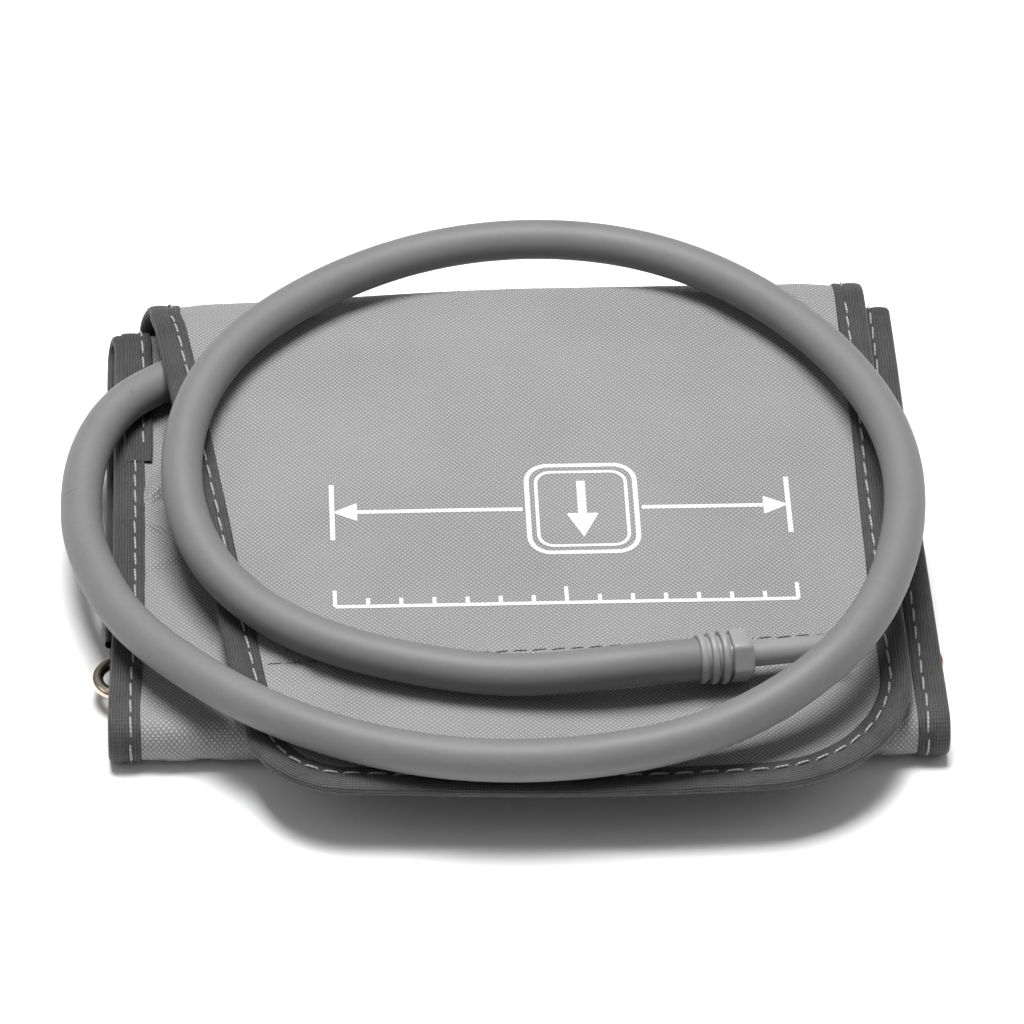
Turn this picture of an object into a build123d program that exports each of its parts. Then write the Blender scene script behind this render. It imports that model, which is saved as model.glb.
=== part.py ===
"""Upper-arm blood pressure cuff, rolled up flat with its air hose coiled on top.

All lengths are in millimetres. The rest plane is z = 0, +Z is up and the front of the roll is -Y.
The cuff is one long panel. It is laid out here as a side profile in the YZ plane, starting at the
ring end inside the roll and finishing at the flap's back fold, and every layer is a band at its
own distance from the panel's middle line. Positive distances are on the grey outer side.
"""

import os
from math import cos, degrees, pi, radians, sin

from build123d import *

# panel layout, as folded
CUFF_HALF_WIDTH = 75.0
RING_END_Y = -26.0
INNER_PANEL_Z = 4.6
INNER_FOLD_Y = 57.0
INNER_FOLD_R = 2.1
FRONT_FOLD_Y = -51.0
FRONT_FOLD_R = 3.85
BACK_FOLD_Y = 54.8
BACK_FOLD_R = 8.95
BACK_FOLD_Z = 10.05
MIDDLE_PANEL_Z = INNER_PANEL_Z + 2 * INNER_FOLD_R
FLAP_TOP_Z = BACK_FOLD_Z + BACK_FOLD_R
SPAN = 95.0
REACH = 120.0

# layers of the sewn panel, as distances from its middle line
COVER = (0.50, 1.10)
COVER_STEP = (0.25, 0.85)
COVER_EDGE = (0.00, 0.60)
LINING = (-1.10, -0.60)
LINING_STEP = (-0.85, -0.35)
LINING_EDGE = (-0.56, -0.06)
FLAP_COVER = (0.40, 1.00)
FLAP_INTERLINING = (-0.45, 0.35)
FLAP_LINING = (-1.00, -0.50)
TAPE_OUTSIDE = (0.60, 1.00)
TAPE_INSIDE = (-0.96, -0.56)
TAPE_ROUND_EDGE = (-0.96, 1.00)
THREAD_OUTSIDE = (1.00, 1.10)
THREAD_INSIDE = (-1.06, -0.96)

# insets from the panel's side edge
TAPE_WIDTH = 5.8
TAPE_THICKNESS = 0.4
STEP_INSET = 6.3
FULL_INSET = 7.3
INTERLINING_INSET = 7.8
THREAD_INSET = (3.8, 4.2)
TAPE_END_INSET = (1.9, 7.2)
TAPE_END = (1.00, 1.40)
TAPE_END_LEAD = 6.0
TAPE_END_LENGTH = 37.0

# air bladder in the pocket between cover and lining
BLADDER_UPPER = (0.05, 0.40)
BLADDER_LOWER = (-0.50, -0.15)
BLADDER_RIM = (-0.15, 0.05)
BLADDER_HALF_WIDTH = 60.0
BLADDER_RIM_WIDTH = 4.0
BLADDER_END_GAP = 8.0
POCKET_SEAM_LEAD = 12.0
SEAM_THREAD = (1.10, 1.20)
SEAM_THREAD_WIDTH = 0.4
SEAM_THREAD_THICKNESS = 0.1

# air port and its elbow, standing on the middle panel under the flap
PORT_X = -42.0
PORT_Y = 47.5
PORT_FLANGE_R = 9.0
PORT_FLANGE_THICKNESS = 0.35
PORT_STEM_R = 3.8
PORT_COLLAR_END = 5.0
PORT_SPIGOT_END = 10.5
PORT_HEADING = 188.0
GROMMET_R = 8.0
GROMMET_HEIGHT = 0.4
STEM_CLEARANCE = 0.1
AIR_BORE_R = 1.2

# hook and loop closure
LOOP_PATCH_X = (-46.0, 60.0)
LOOP_PATCH_Y = (-50.0, -20.0)
LOOP_PATCH = (1.10, 2.10)
LOOP_CORNER_R = 3.0
LOOP_THREAD_INSET = 1.6
LOOP_THREAD = (2.10, 2.20)
HOOK_PATCH = (-1.80, -1.00)
HOOK_THREAD = (-1.90, -1.80)
HOOK_SEAM_LEFT = (-47.0, -40.7)
HOOK_SEAM_RIGHT = (63.0, -35.3)
HOOK_SEAM_INSET = 1.6
HOOK_SEAM_OVERRUN = 30.0
HOOK_SEAM_OVERRUN_RISE = 1.5
HOOK_EDGE_INSET = 8.0
HOOK_THREAD_EDGE_INSET = 9.0

# cinch ring and the sleeve that holds it
RING_WIRE_R = 1.1
RING_HALF_LENGTH = 77.2
RING_CENTRE_X = -1.0
RING_REAR_Y = -30.5
RING_FRONT_Y = -40.0
SLEEVE_BORE_R = 1.25
SLEEVE_OUTER_R = 1.75
SLEEVE_HALF_WIDTH = 66.0
SLEEVE_END_Y = -10.0
SLEEVE_SEAM_YS = (-22.0, -13.0)
SLEEVE_SEAM_END_GAP = 2.0

# flap outline, seen from above
FLAP_LEFT_BACK_X = -67.3
FLAP_RIGHT_BACK_X = 69.2
FLAP_LEFT_FRONT = (-48.6, -75.0)
FLAP_RIGHT_FRONT = (68.4, -76.0)
FLAP_FRONT_MIDDLE = (9.5, -78.4)
FLAP_LEFT_CORNER_R = 19.0
FLAP_RIGHT_CORNER_R = 25.0
FLAP_LEVEL_LENGTH = 19.8
FLAP_SLOPE_DEG = 6.3
FLAP_SLOPE_LENGTH = 51.2
FLAP_BEND_R = 40.0
FLAP_TIP_LENGTH = 70.0
NARROWING_Z = (2.2, 6.5)

# opening line of the flap, just behind the back fold
FLAP_PIVOT_Y = 65.2
FLAP_SPLIT_R = 13.72
FLAP_SPLIT_GAP = 0.15
SPLIT_OVERRUN = 2.0

# air hose
HOSE_R = 3.8
HOSE_BORE_R = 2.0
HOSE_SPLIT_X = -56.0
HOSE_SPLIT_GAP = 0.2
LEAD_Z = 13.85
COIL_HINGE = (-80.0, 2.0, 14.5)
COIL_CENTRE = (-5.0, -4.0)
HINGE_RUN_IN = 5.0
HINGE_BEND_IN = 0.15
LEAD_PIECES = 3
COIL_PIECES = 14

# plug on the hose's free end
PLUG_AT = (29.6, -50.0, 19.35)
PLUG_HEADING = 8.7
PLUG_DIP = 2.0
PLUG_NOZZLE_R = 2.3
PLUG_NOZZLE_END = 26.5
PLUG_BODY_END = 9.8
PLUG_HEX_START = 6.0
PLUG_HEX_R = 5.0
PLUG_HEX_CHAMFER = 0.7
PLUG_GAP = 0.1
PLUG_LIP_R = 4.45
PLUG_LIP_LENGTH = 1.3
PLUG_CORE_R = 3.9
PLUG_RIBS = ((2.1, 4.75), (4.05, 4.9))
PLUG_RIB_LENGTH = 1.3
PLUG_RIB_ROUND = 0.4
PLUG_NOZZLE_CHAMFER = 0.4
PLUG_TAIL_R = 1.85
PLUG_TAIL_LENGTH = 6.0
PLUG_RUN_IN = 14.0
PLUG_BORE_R = 1.1


# ---------------------------------------------------------------- side profile of the panel


def station(leg, run, out=0.0):
    """Point and heading a given run along a leg, moved out to the panel's outer side."""
    (y, z), heading, _, radius = leg
    turn = radians(heading)
    if radius == 0:
        y += run * cos(turn)
        z += run * sin(turn)
    else:
        centre_y = y - radius * sin(turn)
        centre_z = z + radius * cos(turn)
        turn += run / radius
        y = centre_y + radius * sin(turn)
        z = centre_z - radius * cos(turn)
    return (y + out * sin(turn), z - out * cos(turn)), degrees(turn)


def lay(point, heading, moves):
    """Join legs end to end. A move is a length and a left-turn radius, 0 for a straight leg."""
    legs = []
    for length, radius in moves:
        leg = (point, heading, length, radius)
        legs.append(leg)
        point, heading = station(leg, length)
    return legs


def trim(legs, start, end):
    """The part of a row of legs between two distances along it."""
    kept = []
    run = 0.0
    for leg in legs:
        first = max(start - run, 0.0)
        last = min(end - run, leg[2])
        if last - first > 0.001:
            point, heading = station(leg, first)
            kept.append((point, heading, last - first, leg[3]))
        run += leg[2]
    return kept


def offset_edge(leg, out):
    """One leg's line or arc, moved out from the middle line."""
    start, _ = station(leg, 0.0, out)
    end, _ = station(leg, leg[2], out)
    if leg[3] == 0:
        return Line(start, end)
    middle, _ = station(leg, leg[2] / 2, out)
    return ThreePointArc(start, middle, end)


def band(legs, layer):
    """A layer between two distances from the middle line, running the full span in x."""
    inner, outer = layer
    first, last = legs[0], legs[-1]
    edges = [offset_edge(leg, outer) for leg in legs]
    edges += [offset_edge(leg, inner) for leg in legs]
    edges.append(Line(station(first, 0.0, inner)[0], station(first, 0.0, outer)[0]))
    edges.append(Line(station(last, last[2], inner)[0], station(last, last[2], outer)[0]))
    return extrude(Plane.YZ * Face(Wire(edges)), amount=SPAN, both=True)


ROLL_MOVES = [
    (INNER_FOLD_Y - RING_END_Y, 0),
    (pi * INNER_FOLD_R, INNER_FOLD_R),
    (INNER_FOLD_Y - FRONT_FOLD_Y, 0),
    (pi * FRONT_FOLD_R, FRONT_FOLD_R),
    (BACK_FOLD_Y - FRONT_FOLD_Y, 0),
]
ROLL = lay((RING_END_Y, INNER_PANEL_Z), 0.0, ROLL_MOVES)
BACK_FOLD = lay(
    (BACK_FOLD_Y, BACK_FOLD_Z - BACK_FOLD_R),
    0.0,
    [(pi * BACK_FOLD_R, BACK_FOLD_R), (SPLIT_OVERRUN, 0)],
)
FLAP = lay(
    (BACK_FOLD_Y + SPLIT_OVERRUN, FLAP_TOP_Z),
    180.0,
    [
        (FLAP_LEVEL_LENGTH + SPLIT_OVERRUN, 0),
        (radians(FLAP_SLOPE_DEG) * FLAP_BEND_R, FLAP_BEND_R),
        (FLAP_SLOPE_LENGTH, 0),
        (radians(FLAP_SLOPE_DEG) * FLAP_BEND_R, -FLAP_BEND_R),
        (FLAP_TIP_LENGTH, 0),
    ],
)

# distances along the roll where its parts begin
MIDDLE_PANEL_START = ROLL_MOVES[0][0] + ROLL_MOVES[1][0]
BOTTOM_PANEL_START = MIDDLE_PANEL_START + ROLL_MOVES[2][0] + ROLL_MOVES[3][0]
ROLL_LENGTH = BOTTOM_PANEL_START + ROLL_MOVES[4][0]
BLADDER_RUN = (MIDDLE_PANEL_START + BLADDER_END_GAP / 2, ROLL_LENGTH - BLADDER_END_GAP)


# ---------------------------------------------------------------- zones across the width


def roll_edge(side, inset):
    """Side edge of the rolled panels, in x and z."""
    x = side * (CUFF_HALF_WIDTH - inset)
    return [(x, -10.0), (x, 40.0)]


def back_edge(side, inset):
    """Side edge over the back fold, in x and z, where the cuff narrows towards the flap."""
    low_x = side * (CUFF_HALF_WIDTH - inset)
    high_x = (FLAP_RIGHT_BACK_X if side > 0 else FLAP_LEFT_BACK_X) - side * inset
    return [(low_x, -10.0), (low_x, NARROWING_Z[0]), (high_x, NARROWING_Z[1]), (high_x, 40.0)]


def between(edge, other):
    """Upright block between two side edges, running the full depth of the cuff."""
    outline = Polyline(*edge, *reversed(other), close=True)
    return extrude(Plane.XZ * Face(Wire(outline.edges())), amount=REACH, both=True)


def side_zone(edge, side, insets):
    return between(edge(side, insets[0]), edge(side, insets[1]))


def middle_zone(edge, inset):
    return between(edge(-1, inset), edge(1, inset))


def flap_outline():
    """Flap seen from above, run on past the back fold."""
    back_y = 95.0
    sides = Polyline(
        FLAP_LEFT_FRONT,
        (FLAP_LEFT_BACK_X, BACK_FOLD_Y),
        (FLAP_LEFT_BACK_X, back_y),
        (FLAP_RIGHT_BACK_X, back_y),
        (FLAP_RIGHT_BACK_X, BACK_FOLD_Y),
        FLAP_RIGHT_FRONT,
    )
    front = ThreePointArc(FLAP_RIGHT_FRONT, FLAP_FRONT_MIDDLE, FLAP_LEFT_FRONT)
    face = Face(Wire(sides.edges() + front.edges()))
    corners = face.vertices().sort_by(Axis.Y)[:2].sort_by(Axis.X)
    face = fillet(corners[0], FLAP_LEFT_CORNER_R)
    corners = face.vertices().filter_by(lambda v: v.X > 60 and v.Y < -70)
    return fillet(corners, FLAP_RIGHT_CORNER_R)


FLAP_FACE = flap_outline()


def flap_zone(inset):
    """Upright block inside the flap's outline, in from its edge."""
    face = offset(FLAP_FACE, amount=-inset) if inset else FLAP_FACE
    return extrude(face, amount=REACH / 2, both=True)


def split_cylinder(radius):
    return Pos(0, FLAP_PIVOT_Y, BACK_FOLD_Z) * Rot(0, 90, 0) * Cylinder(radius, 2 * SPAN)


def keep_behind_split(shape):
    """Cut a back-fold layer off where the flap begins."""
    beyond = Box(2 * SPAN, 40.0, 30.0, align=(Align.CENTER, Align.MAX, Align.MIN))
    beyond = Pos(0, FLAP_PIVOT_Y - 2.0, BACK_FOLD_Z) * beyond
    return shape - (beyond - split_cylinder(FLAP_SPLIT_R))


def keep_on_flap(shape):
    return shape - split_cylinder(FLAP_SPLIT_R + FLAP_SPLIT_GAP)


def in_plan(face_xy, legs, layer):
    """A layer cut to a shape seen from above."""
    return band(legs, layer) & extrude(face_xy, amount=REACH / 2, both=True)


def rectangle(x_range, y_range):
    width = x_range[1] - x_range[0]
    depth = y_range[1] - y_range[0]
    centre = Pos((x_range[0] + x_range[1]) / 2, (y_range[0] + y_range[1]) / 2)
    return centre * Rectangle(width, depth)


# ---------------------------------------------------------------- sewn panel


def panel_layer(full, step, edge_layer):
    """One cloth layer, full in the middle and pinched together along both sides."""
    shape = None
    for legs, edge in ((ROLL, roll_edge), (BACK_FOLD, back_edge)):
        cloth = band(legs, full) & middle_zone(edge, FULL_INSET)
        for side in (-1, 1):
            cloth += band(legs, step) & side_zone(edge, side, (STEP_INSET, FULL_INSET))
            cloth += band(legs, edge_layer) & side_zone(edge, side, (TAPE_THICKNESS, STEP_INSET))
        if edge is back_edge:
            cloth = keep_behind_split(cloth)
        shape = cloth if shape is None else shape + cloth
    return shape


def outer_cover():
    cloth = panel_layer(COVER, COVER_STEP, COVER_EDGE)
    opening = Pos(PORT_X, PORT_Y, MIDDLE_PANEL_Z + 1.0) * Cylinder(PORT_STEM_R + STEM_CLEARANCE, 2.0)
    return cloth - opening


def lining():
    return panel_layer(LINING, LINING_STEP, LINING_EDGE)


def binding(side):
    """Edge tape folded round one side of the cuff."""
    tape = None
    for legs, edge in ((ROLL, roll_edge), (BACK_FOLD, back_edge)):
        run = band(legs, TAPE_OUTSIDE) & side_zone(edge, side, (0.0, TAPE_WIDTH))
        run += band(legs, TAPE_INSIDE) & side_zone(edge, side, (0.0, TAPE_WIDTH))
        run += band(legs, TAPE_ROUND_EDGE) & side_zone(edge, side, (0.0, TAPE_THICKNESS))
        if edge is back_edge:
            run = keep_behind_split(run)
        tape = run if tape is None else tape + run
    return tape


def tape_end_legs():
    return trim(ROLL, ROLL_MOVES[0][0] - TAPE_END_LEAD, MIDDLE_PANEL_START + TAPE_END_LENGTH)


def binding_tape_end():
    """Lapped end of the left tape, lying on the first run of tape."""
    return band(tape_end_legs(), TAPE_END) & side_zone(roll_edge, -1, TAPE_END_INSET)


def binding_thread(side):
    """Seam thread on both faces of one edge tape."""
    thread = None
    for legs, edge in ((ROLL, roll_edge), (BACK_FOLD, back_edge)):
        zone = side_zone(edge, side, THREAD_INSET)
        run = (band(legs, THREAD_OUTSIDE) & zone) + (band(legs, THREAD_INSIDE) & zone)
        if edge is back_edge:
            run = keep_behind_split(run)
        thread = run if thread is None else thread + run
    if side < 0:
        thread -= binding_tape_end()
    return thread


def bladder_zone(inset):
    x = BLADDER_HALF_WIDTH - inset
    return Box(2 * x, 300.0, 100.0)


def bladder_upper_sheet():
    sheet = band(trim(ROLL, *BLADDER_RUN), BLADDER_UPPER) & bladder_zone(0.0)
    hole = Pos(PORT_X, PORT_Y, MIDDLE_PANEL_Z + 0.5) * Cylinder(PORT_FLANGE_R, 2.0)
    return sheet - hole


def bladder_lower_sheet():
    """Inner sheet with the raised rim that is welded to the outer sheet."""
    legs = trim(ROLL, *BLADDER_RUN)
    start, end = BLADDER_RUN
    sheet = band(legs, BLADDER_LOWER) & bladder_zone(0.0)
    sheet += band(legs, BLADDER_RIM) & (bladder_zone(0.0) - bladder_zone(BLADDER_RIM_WIDTH))
    sheet += band(trim(ROLL, start, start + BLADDER_RIM_WIDTH), BLADDER_RIM) & bladder_zone(0.0)
    sheet += band(trim(ROLL, end - BLADDER_RIM_WIDTH, end), BLADDER_RIM) & bladder_zone(0.0)
    return sheet


def bladder_pocket_seam():
    """Row of thread that closes the bladder's pocket on the ring side."""
    end = ROLL_MOVES[0][0] - POCKET_SEAM_LEAD
    legs = trim(ROLL, end - SEAM_THREAD_WIDTH, end)
    return band(legs, SEAM_THREAD) & middle_zone(roll_edge, FULL_INSET)


# ---------------------------------------------------------------- ring, patches and port


def cinch_ring():
    """Closed wire loop that the cuff's free end is threaded through."""
    bend_r = (RING_REAR_Y - RING_FRONT_Y) / 2
    straight = RING_HALF_LENGTH - RING_WIRE_R - bend_r
    left, right = RING_CENTRE_X - straight, RING_CENTRE_X + straight
    middle_y = (RING_REAR_Y + RING_FRONT_Y) / 2
    path = Wire(
        [
            Line((left, RING_FRONT_Y, 0), (right, RING_FRONT_Y, 0)),
            CenterArc((right, middle_y, 0), bend_r, -90, 180),
            Line((right, RING_REAR_Y, 0), (left, RING_REAR_Y, 0)),
            CenterArc((left, middle_y, 0), bend_r, 90, 180),
        ]
    )
    start = Plane(origin=(left, RING_FRONT_Y, 0), z_dir=(1, 0, 0))
    return Pos(0, 0, INNER_PANEL_Z) * sweep(start * Circle(RING_WIRE_R), path=path)


def ring_sleeve():
    """Cloth strap folded round the ring's rear wire and over both faces of the ring end."""
    length = SLEEVE_END_Y - RING_REAR_Y
    middle_r = (SLEEVE_BORE_R + SLEEVE_OUTER_R) / 2
    half = (SLEEVE_OUTER_R - SLEEVE_BORE_R) / 2
    legs = lay(
        (SLEEVE_END_Y, INNER_PANEL_Z + middle_r),
        180.0,
        [(length, 0), (pi * middle_r, middle_r), (length, 0)],
    )
    return band(legs, (-half, half)) & Box(2 * SLEEVE_HALF_WIDTH, 200.0, 100.0)


def ring_sleeve_stitching():
    """Two rows of thread on each face of the ring sleeve."""
    rows = []
    for y in SLEEVE_SEAM_YS:
        for face in (-1, 1):
            z = INNER_PANEL_Z + face * (SLEEVE_OUTER_R + SEAM_THREAD_THICKNESS / 2)
            length = 2 * (SLEEVE_HALF_WIDTH - SLEEVE_SEAM_END_GAP)
            row = Box(length, SEAM_THREAD_WIDTH, SEAM_THREAD_THICKNESS)
            rows.append(Pos(0, y, z) * row)
    return Compound(children=rows)


def loop_patch():
    patch = rectangle(LOOP_PATCH_X, LOOP_PATCH_Y)
    patch = fillet(patch.vertices(), LOOP_CORNER_R)
    return in_plan(patch, trim(ROLL, MIDDLE_PANEL_START, BOTTOM_PANEL_START), LOOP_PATCH)


def loop_patch_thread():
    """Stitched frame on top of the loop patch."""
    patch = fillet(rectangle(LOOP_PATCH_X, LOOP_PATCH_Y).vertices(), LOOP_CORNER_R)
    outer = offset(patch, amount=-LOOP_THREAD_INSET)
    inner = offset(patch, amount=-LOOP_THREAD_INSET - SEAM_THREAD_WIDTH)
    legs = trim(ROLL, MIDDLE_PANEL_START, BOTTOM_PANEL_START)
    return in_plan(outer - inner, legs, LOOP_THREAD)


def port_direction():
    return Vector(cos(radians(PORT_HEADING)), sin(radians(PORT_HEADING)), 0)


def rod(radius, start, end):
    """Round bar between two points."""
    start, end = Vector(*start), Vector(*end)
    way = end - start
    return extrude(Plane(origin=start, z_dir=way) * Circle(radius), amount=way.length)


def port_grommet():
    """Reinforcing ring on the cover round the air port, hollowed where the hose lies over it."""
    ring = Cylinder(GROMMET_R, GROMMET_HEIGHT) - Cylinder(PORT_STEM_R + STEM_CLEARANCE, 2.0)
    ring = Pos(PORT_X, PORT_Y, MIDDLE_PANEL_Z + COVER[1] + GROMMET_HEIGHT / 2) * ring
    elbow = Vector(PORT_X, PORT_Y, LEAD_Z)
    return ring - rod(HOSE_R + STEM_CLEARANCE, elbow, elbow + port_direction() * 40.0)


def bladder_port():
    """Welded flange, stem and elbow with the spigot that the hose is pushed onto."""
    base_z = MIDDLE_PANEL_Z + BLADDER_UPPER[0]
    elbow = Vector(PORT_X, PORT_Y, LEAD_Z)
    way = port_direction()
    flange = Cylinder(PORT_FLANGE_R, PORT_FLANGE_THICKNESS)
    body = Pos(PORT_X, PORT_Y, base_z + PORT_FLANGE_THICKNESS / 2) * flange
    body += rod(PORT_STEM_R, (PORT_X, PORT_Y, base_z), elbow)
    body += Pos(*elbow) * Sphere(PORT_STEM_R)
    body += rod(PORT_STEM_R, elbow, elbow + way * PORT_COLLAR_END)
    body += rod(HOSE_BORE_R, elbow, elbow + way * PORT_SPIGOT_END)
    body -= rod(AIR_BORE_R, (PORT_X, PORT_Y, base_z - 1.0), elbow)
    body -= Pos(*elbow) * Sphere(AIR_BORE_R)
    body -= rod(AIR_BORE_R, elbow, elbow + way * (PORT_SPIGOT_END + 1.0))
    return body


# ---------------------------------------------------------------- flap


def flap_layer(full, step, edge_layer):
    cloth = band(FLAP, full) & flap_zone(FULL_INSET)
    cloth += band(FLAP, step) & (flap_zone(STEP_INSET) - flap_zone(FULL_INSET))
    cloth += band(FLAP, edge_layer) & (flap_zone(TAPE_THICKNESS) - flap_zone(STEP_INSET))
    return keep_on_flap(cloth)


def flap_cover():
    return flap_layer(FLAP_COVER, COVER_STEP, COVER_EDGE)


def flap_lining():
    return flap_layer(FLAP_LINING, LINING_STEP, LINING_EDGE)


def flap_interlining():
    return keep_on_flap(band(FLAP, FLAP_INTERLINING) & flap_zone(INTERLINING_INSET))


def flap_binding():
    """Edge tape folded round the flap's sides and rounded tip."""
    strip = flap_zone(0.0) - flap_zone(TAPE_WIDTH)
    tape = (band(FLAP, TAPE_OUTSIDE) & strip) + (band(FLAP, TAPE_INSIDE) & strip)
    tape += band(FLAP, TAPE_ROUND_EDGE) & (flap_zone(0.0) - flap_zone(TAPE_THICKNESS))
    return keep_on_flap(tape)


def flap_binding_thread():
    strip = flap_zone(THREAD_INSET[0]) - flap_zone(THREAD_INSET[1])
    thread = (band(FLAP, THREAD_OUTSIDE) & strip) + (band(FLAP, THREAD_INSIDE) & strip)
    return keep_on_flap(thread)


def below_seam(shift):
    """Area of the flap's tip in front of the hook patch's rear edge."""
    rise = HOOK_SEAM_OVERRUN_RISE
    left = (HOOK_SEAM_LEFT[0] - HOOK_SEAM_OVERRUN, HOOK_SEAM_LEFT[1] - rise - shift)
    right = (HOOK_SEAM_RIGHT[0] + HOOK_SEAM_OVERRUN, HOOK_SEAM_RIGHT[1] + rise - shift)
    outline = Polyline(left, right, (right[0], -REACH), (left[0], -REACH), close=True)
    return extrude(Face(Wire(outline.edges())), amount=REACH / 2, both=True)


def hook_patch():
    return band(FLAP, HOOK_PATCH) & flap_zone(HOOK_EDGE_INSET) & below_seam(0.0)


def hook_patch_thread():
    """Seam across the flap that holds the hook patch, on the cover and on the hooks."""
    row = below_seam(HOOK_SEAM_INSET) - below_seam(HOOK_SEAM_INSET + SEAM_THREAD_WIDTH)
    row &= flap_zone(HOOK_THREAD_EDGE_INSET)
    return (band(FLAP, THREAD_OUTSIDE) & row) + (band(FLAP, HOOK_THREAD) & row)


# ---------------------------------------------------------------- hose and plug


def polar(angle, radius, z):
    """Point on the coil, from its angle and distance about the coil's centre."""
    x = COIL_CENTRE[0] + radius * cos(radians(angle))
    y = COIL_CENTRE[1] + radius * sin(radians(angle))
    return (x, y, z)


def tube(points, start_way, end_way, pieces):
    """Hose along a smooth curve through points, swept in pieces that share their end faces."""
    guide = Spline(*points)
    places = [guide.position_at(i / pieces) for i in range(pieces + 1)]
    ways = [guide.tangent_at(i / pieces) for i in range(pieces + 1)]
    ways[0], ways[-1] = Vector(*start_way), Vector(*end_way)
    wall = Circle(HOSE_R) - Circle(HOSE_BORE_R)
    hose = None
    for i in range(pieces):
        middle = guide.position_at((i + 0.5) / pieces)
        path = Spline(places[i], middle, places[i + 1], tangents=[ways[i], ways[i + 1]])
        run = sweep(Plane(origin=places[i], z_dir=ways[i]) * wall, path=path)
        hose = run if hose is None else hose + run
    return hose


def ahead(point, way, distance):
    """Point a distance along a direction."""
    return tuple(Vector(*point) + Vector(*way) * distance)


def hose_lead():
    """Hose from the port's spigot, out under the flap, to the coil's hinge line."""
    elbow = Vector(PORT_X, PORT_Y, LEAD_Z)
    way = port_direction()
    start = elbow + way * (PORT_COLLAR_END + 0.1)
    over_spigot = elbow + way * (PORT_SPIGOT_END - 0.5)
    points = [
        tuple(start),
        tuple(over_spigot),
        (-62.7, 40.1, 13.9),
        (-71.2, 32.7, 14.3),
        (-77.0, 22.0, 14.5),
        (COIL_HINGE[0] + HINGE_BEND_IN, COIL_HINGE[1] + HINGE_RUN_IN, COIL_HINGE[2]),
        (COIL_HINGE[0], COIL_HINGE[1] + HOSE_SPLIT_GAP / 2, COIL_HINGE[2]),
    ]
    return tube(points, tuple(way), (0, -1, 0), LEAD_PIECES)


def hose_root():
    near = Box(200.0, 300.0, 100.0, align=(Align.MIN, Align.CENTER, Align.CENTER))
    return hose_lead() & Pos(HOSE_SPLIT_X + HOSE_SPLIT_GAP / 2, 0, 0) * near


def hose_bend():
    far = Box(200.0, 300.0, 100.0, align=(Align.MAX, Align.CENTER, Align.CENTER))
    return hose_lead() & Pos(HOSE_SPLIT_X - HOSE_SPLIT_GAP / 2, 0, 0) * far


def plug_way():
    dip = radians(PLUG_DIP)
    turn = radians(PLUG_HEADING)
    return (cos(turn) * cos(dip), sin(turn) * cos(dip), -sin(dip))


def hose_coil():
    """One turn and a half of hose, from the hinge line to the plug."""
    points = [
        (COIL_HINGE[0], COIL_HINGE[1] - HOSE_SPLIT_GAP / 2, COIL_HINGE[2]),
        (COIL_HINGE[0] + HINGE_BEND_IN, COIL_HINGE[1] - HINGE_RUN_IN, COIL_HINGE[2]),
        polar(190.0, 73.4, 14.9),
        polar(204.0, 71.9, 16.0),
        polar(218.0, 70.4, 17.4),
        polar(234.0, 69.7, 18.0),
        polar(260.0, 69.8, 18.0),
        polar(284.0, 71.6, 18.3),
        polar(301.0, 76.0, 21.2),
        polar(318.0, 79.0, 25.9),
        polar(338.0, 76.8, 26.2),
        polar(366.0, 74.9, 25.2),
        polar(395.0, 73.6, 25.0),
        polar(425.0, 73.4, 25.0),
        polar(454.0, 68.6, 25.0),
        polar(484.0, 62.7, 24.6),
        polar(500.0, 60.8, 24.3),
        polar(516.0, 58.9, 23.2),
        polar(534.0, 56.7, 21.4),
        polar(556.0, 54.0, 19.0),
        polar(584.0, 49.6, 18.0),
        polar(612.0, 46.7, 18.0),
        polar(634.0, 48.0, 18.2),
        ahead(PLUG_AT, plug_way(), -PLUG_RUN_IN),
        PLUG_AT,
    ]
    return tube(points, (0, -1, 0), plug_way(), COIL_PIECES)


def standing(radius, height):
    """Cylinder that stands on z = 0."""
    return Cylinder(radius, height, align=(Align.CENTER, Align.CENTER, Align.MIN))


def air_plug():
    """Ribbed and six-sided plug body with a slim nozzle and a tail inside the hose."""
    body = Pos(0, 0, PLUG_GAP) * standing(PLUG_LIP_R, PLUG_LIP_LENGTH)
    body += Pos(0, 0, PLUG_GAP) * standing(PLUG_CORE_R, PLUG_BODY_END - PLUG_GAP - PLUG_HEX_CHAMFER)
    for start, radius in PLUG_RIBS:
        rib = standing(radius, PLUG_RIB_LENGTH)
        body += Pos(0, 0, start) * fillet(rib.edges().filter_by(GeomType.CIRCLE), PLUG_RIB_ROUND)
    hexagon = extrude(RegularPolygon(PLUG_HEX_R, 6), amount=PLUG_BODY_END - PLUG_HEX_START)
    hexagon = chamfer(hexagon.faces().sort_by(Axis.Z)[-1].edges(), PLUG_HEX_CHAMFER)
    body += Pos(0, 0, PLUG_HEX_START) * hexagon
    nozzle = standing(PLUG_NOZZLE_R, PLUG_NOZZLE_END - PLUG_GAP)
    tip = nozzle.edges().filter_by(GeomType.CIRCLE).sort_by(Axis.Z)[-1]
    body += Pos(0, 0, PLUG_GAP) * chamfer(tip, PLUG_NOZZLE_CHAMFER)
    tail = standing(PLUG_TAIL_R, PLUG_TAIL_LENGTH + PLUG_LIP_LENGTH)
    body += Pos(0, 0, -PLUG_TAIL_LENGTH) * tail
    body -= Cylinder(PLUG_BORE_R, REACH)
    return Plane(origin=PLUG_AT, z_dir=plug_way()) * body


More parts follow.
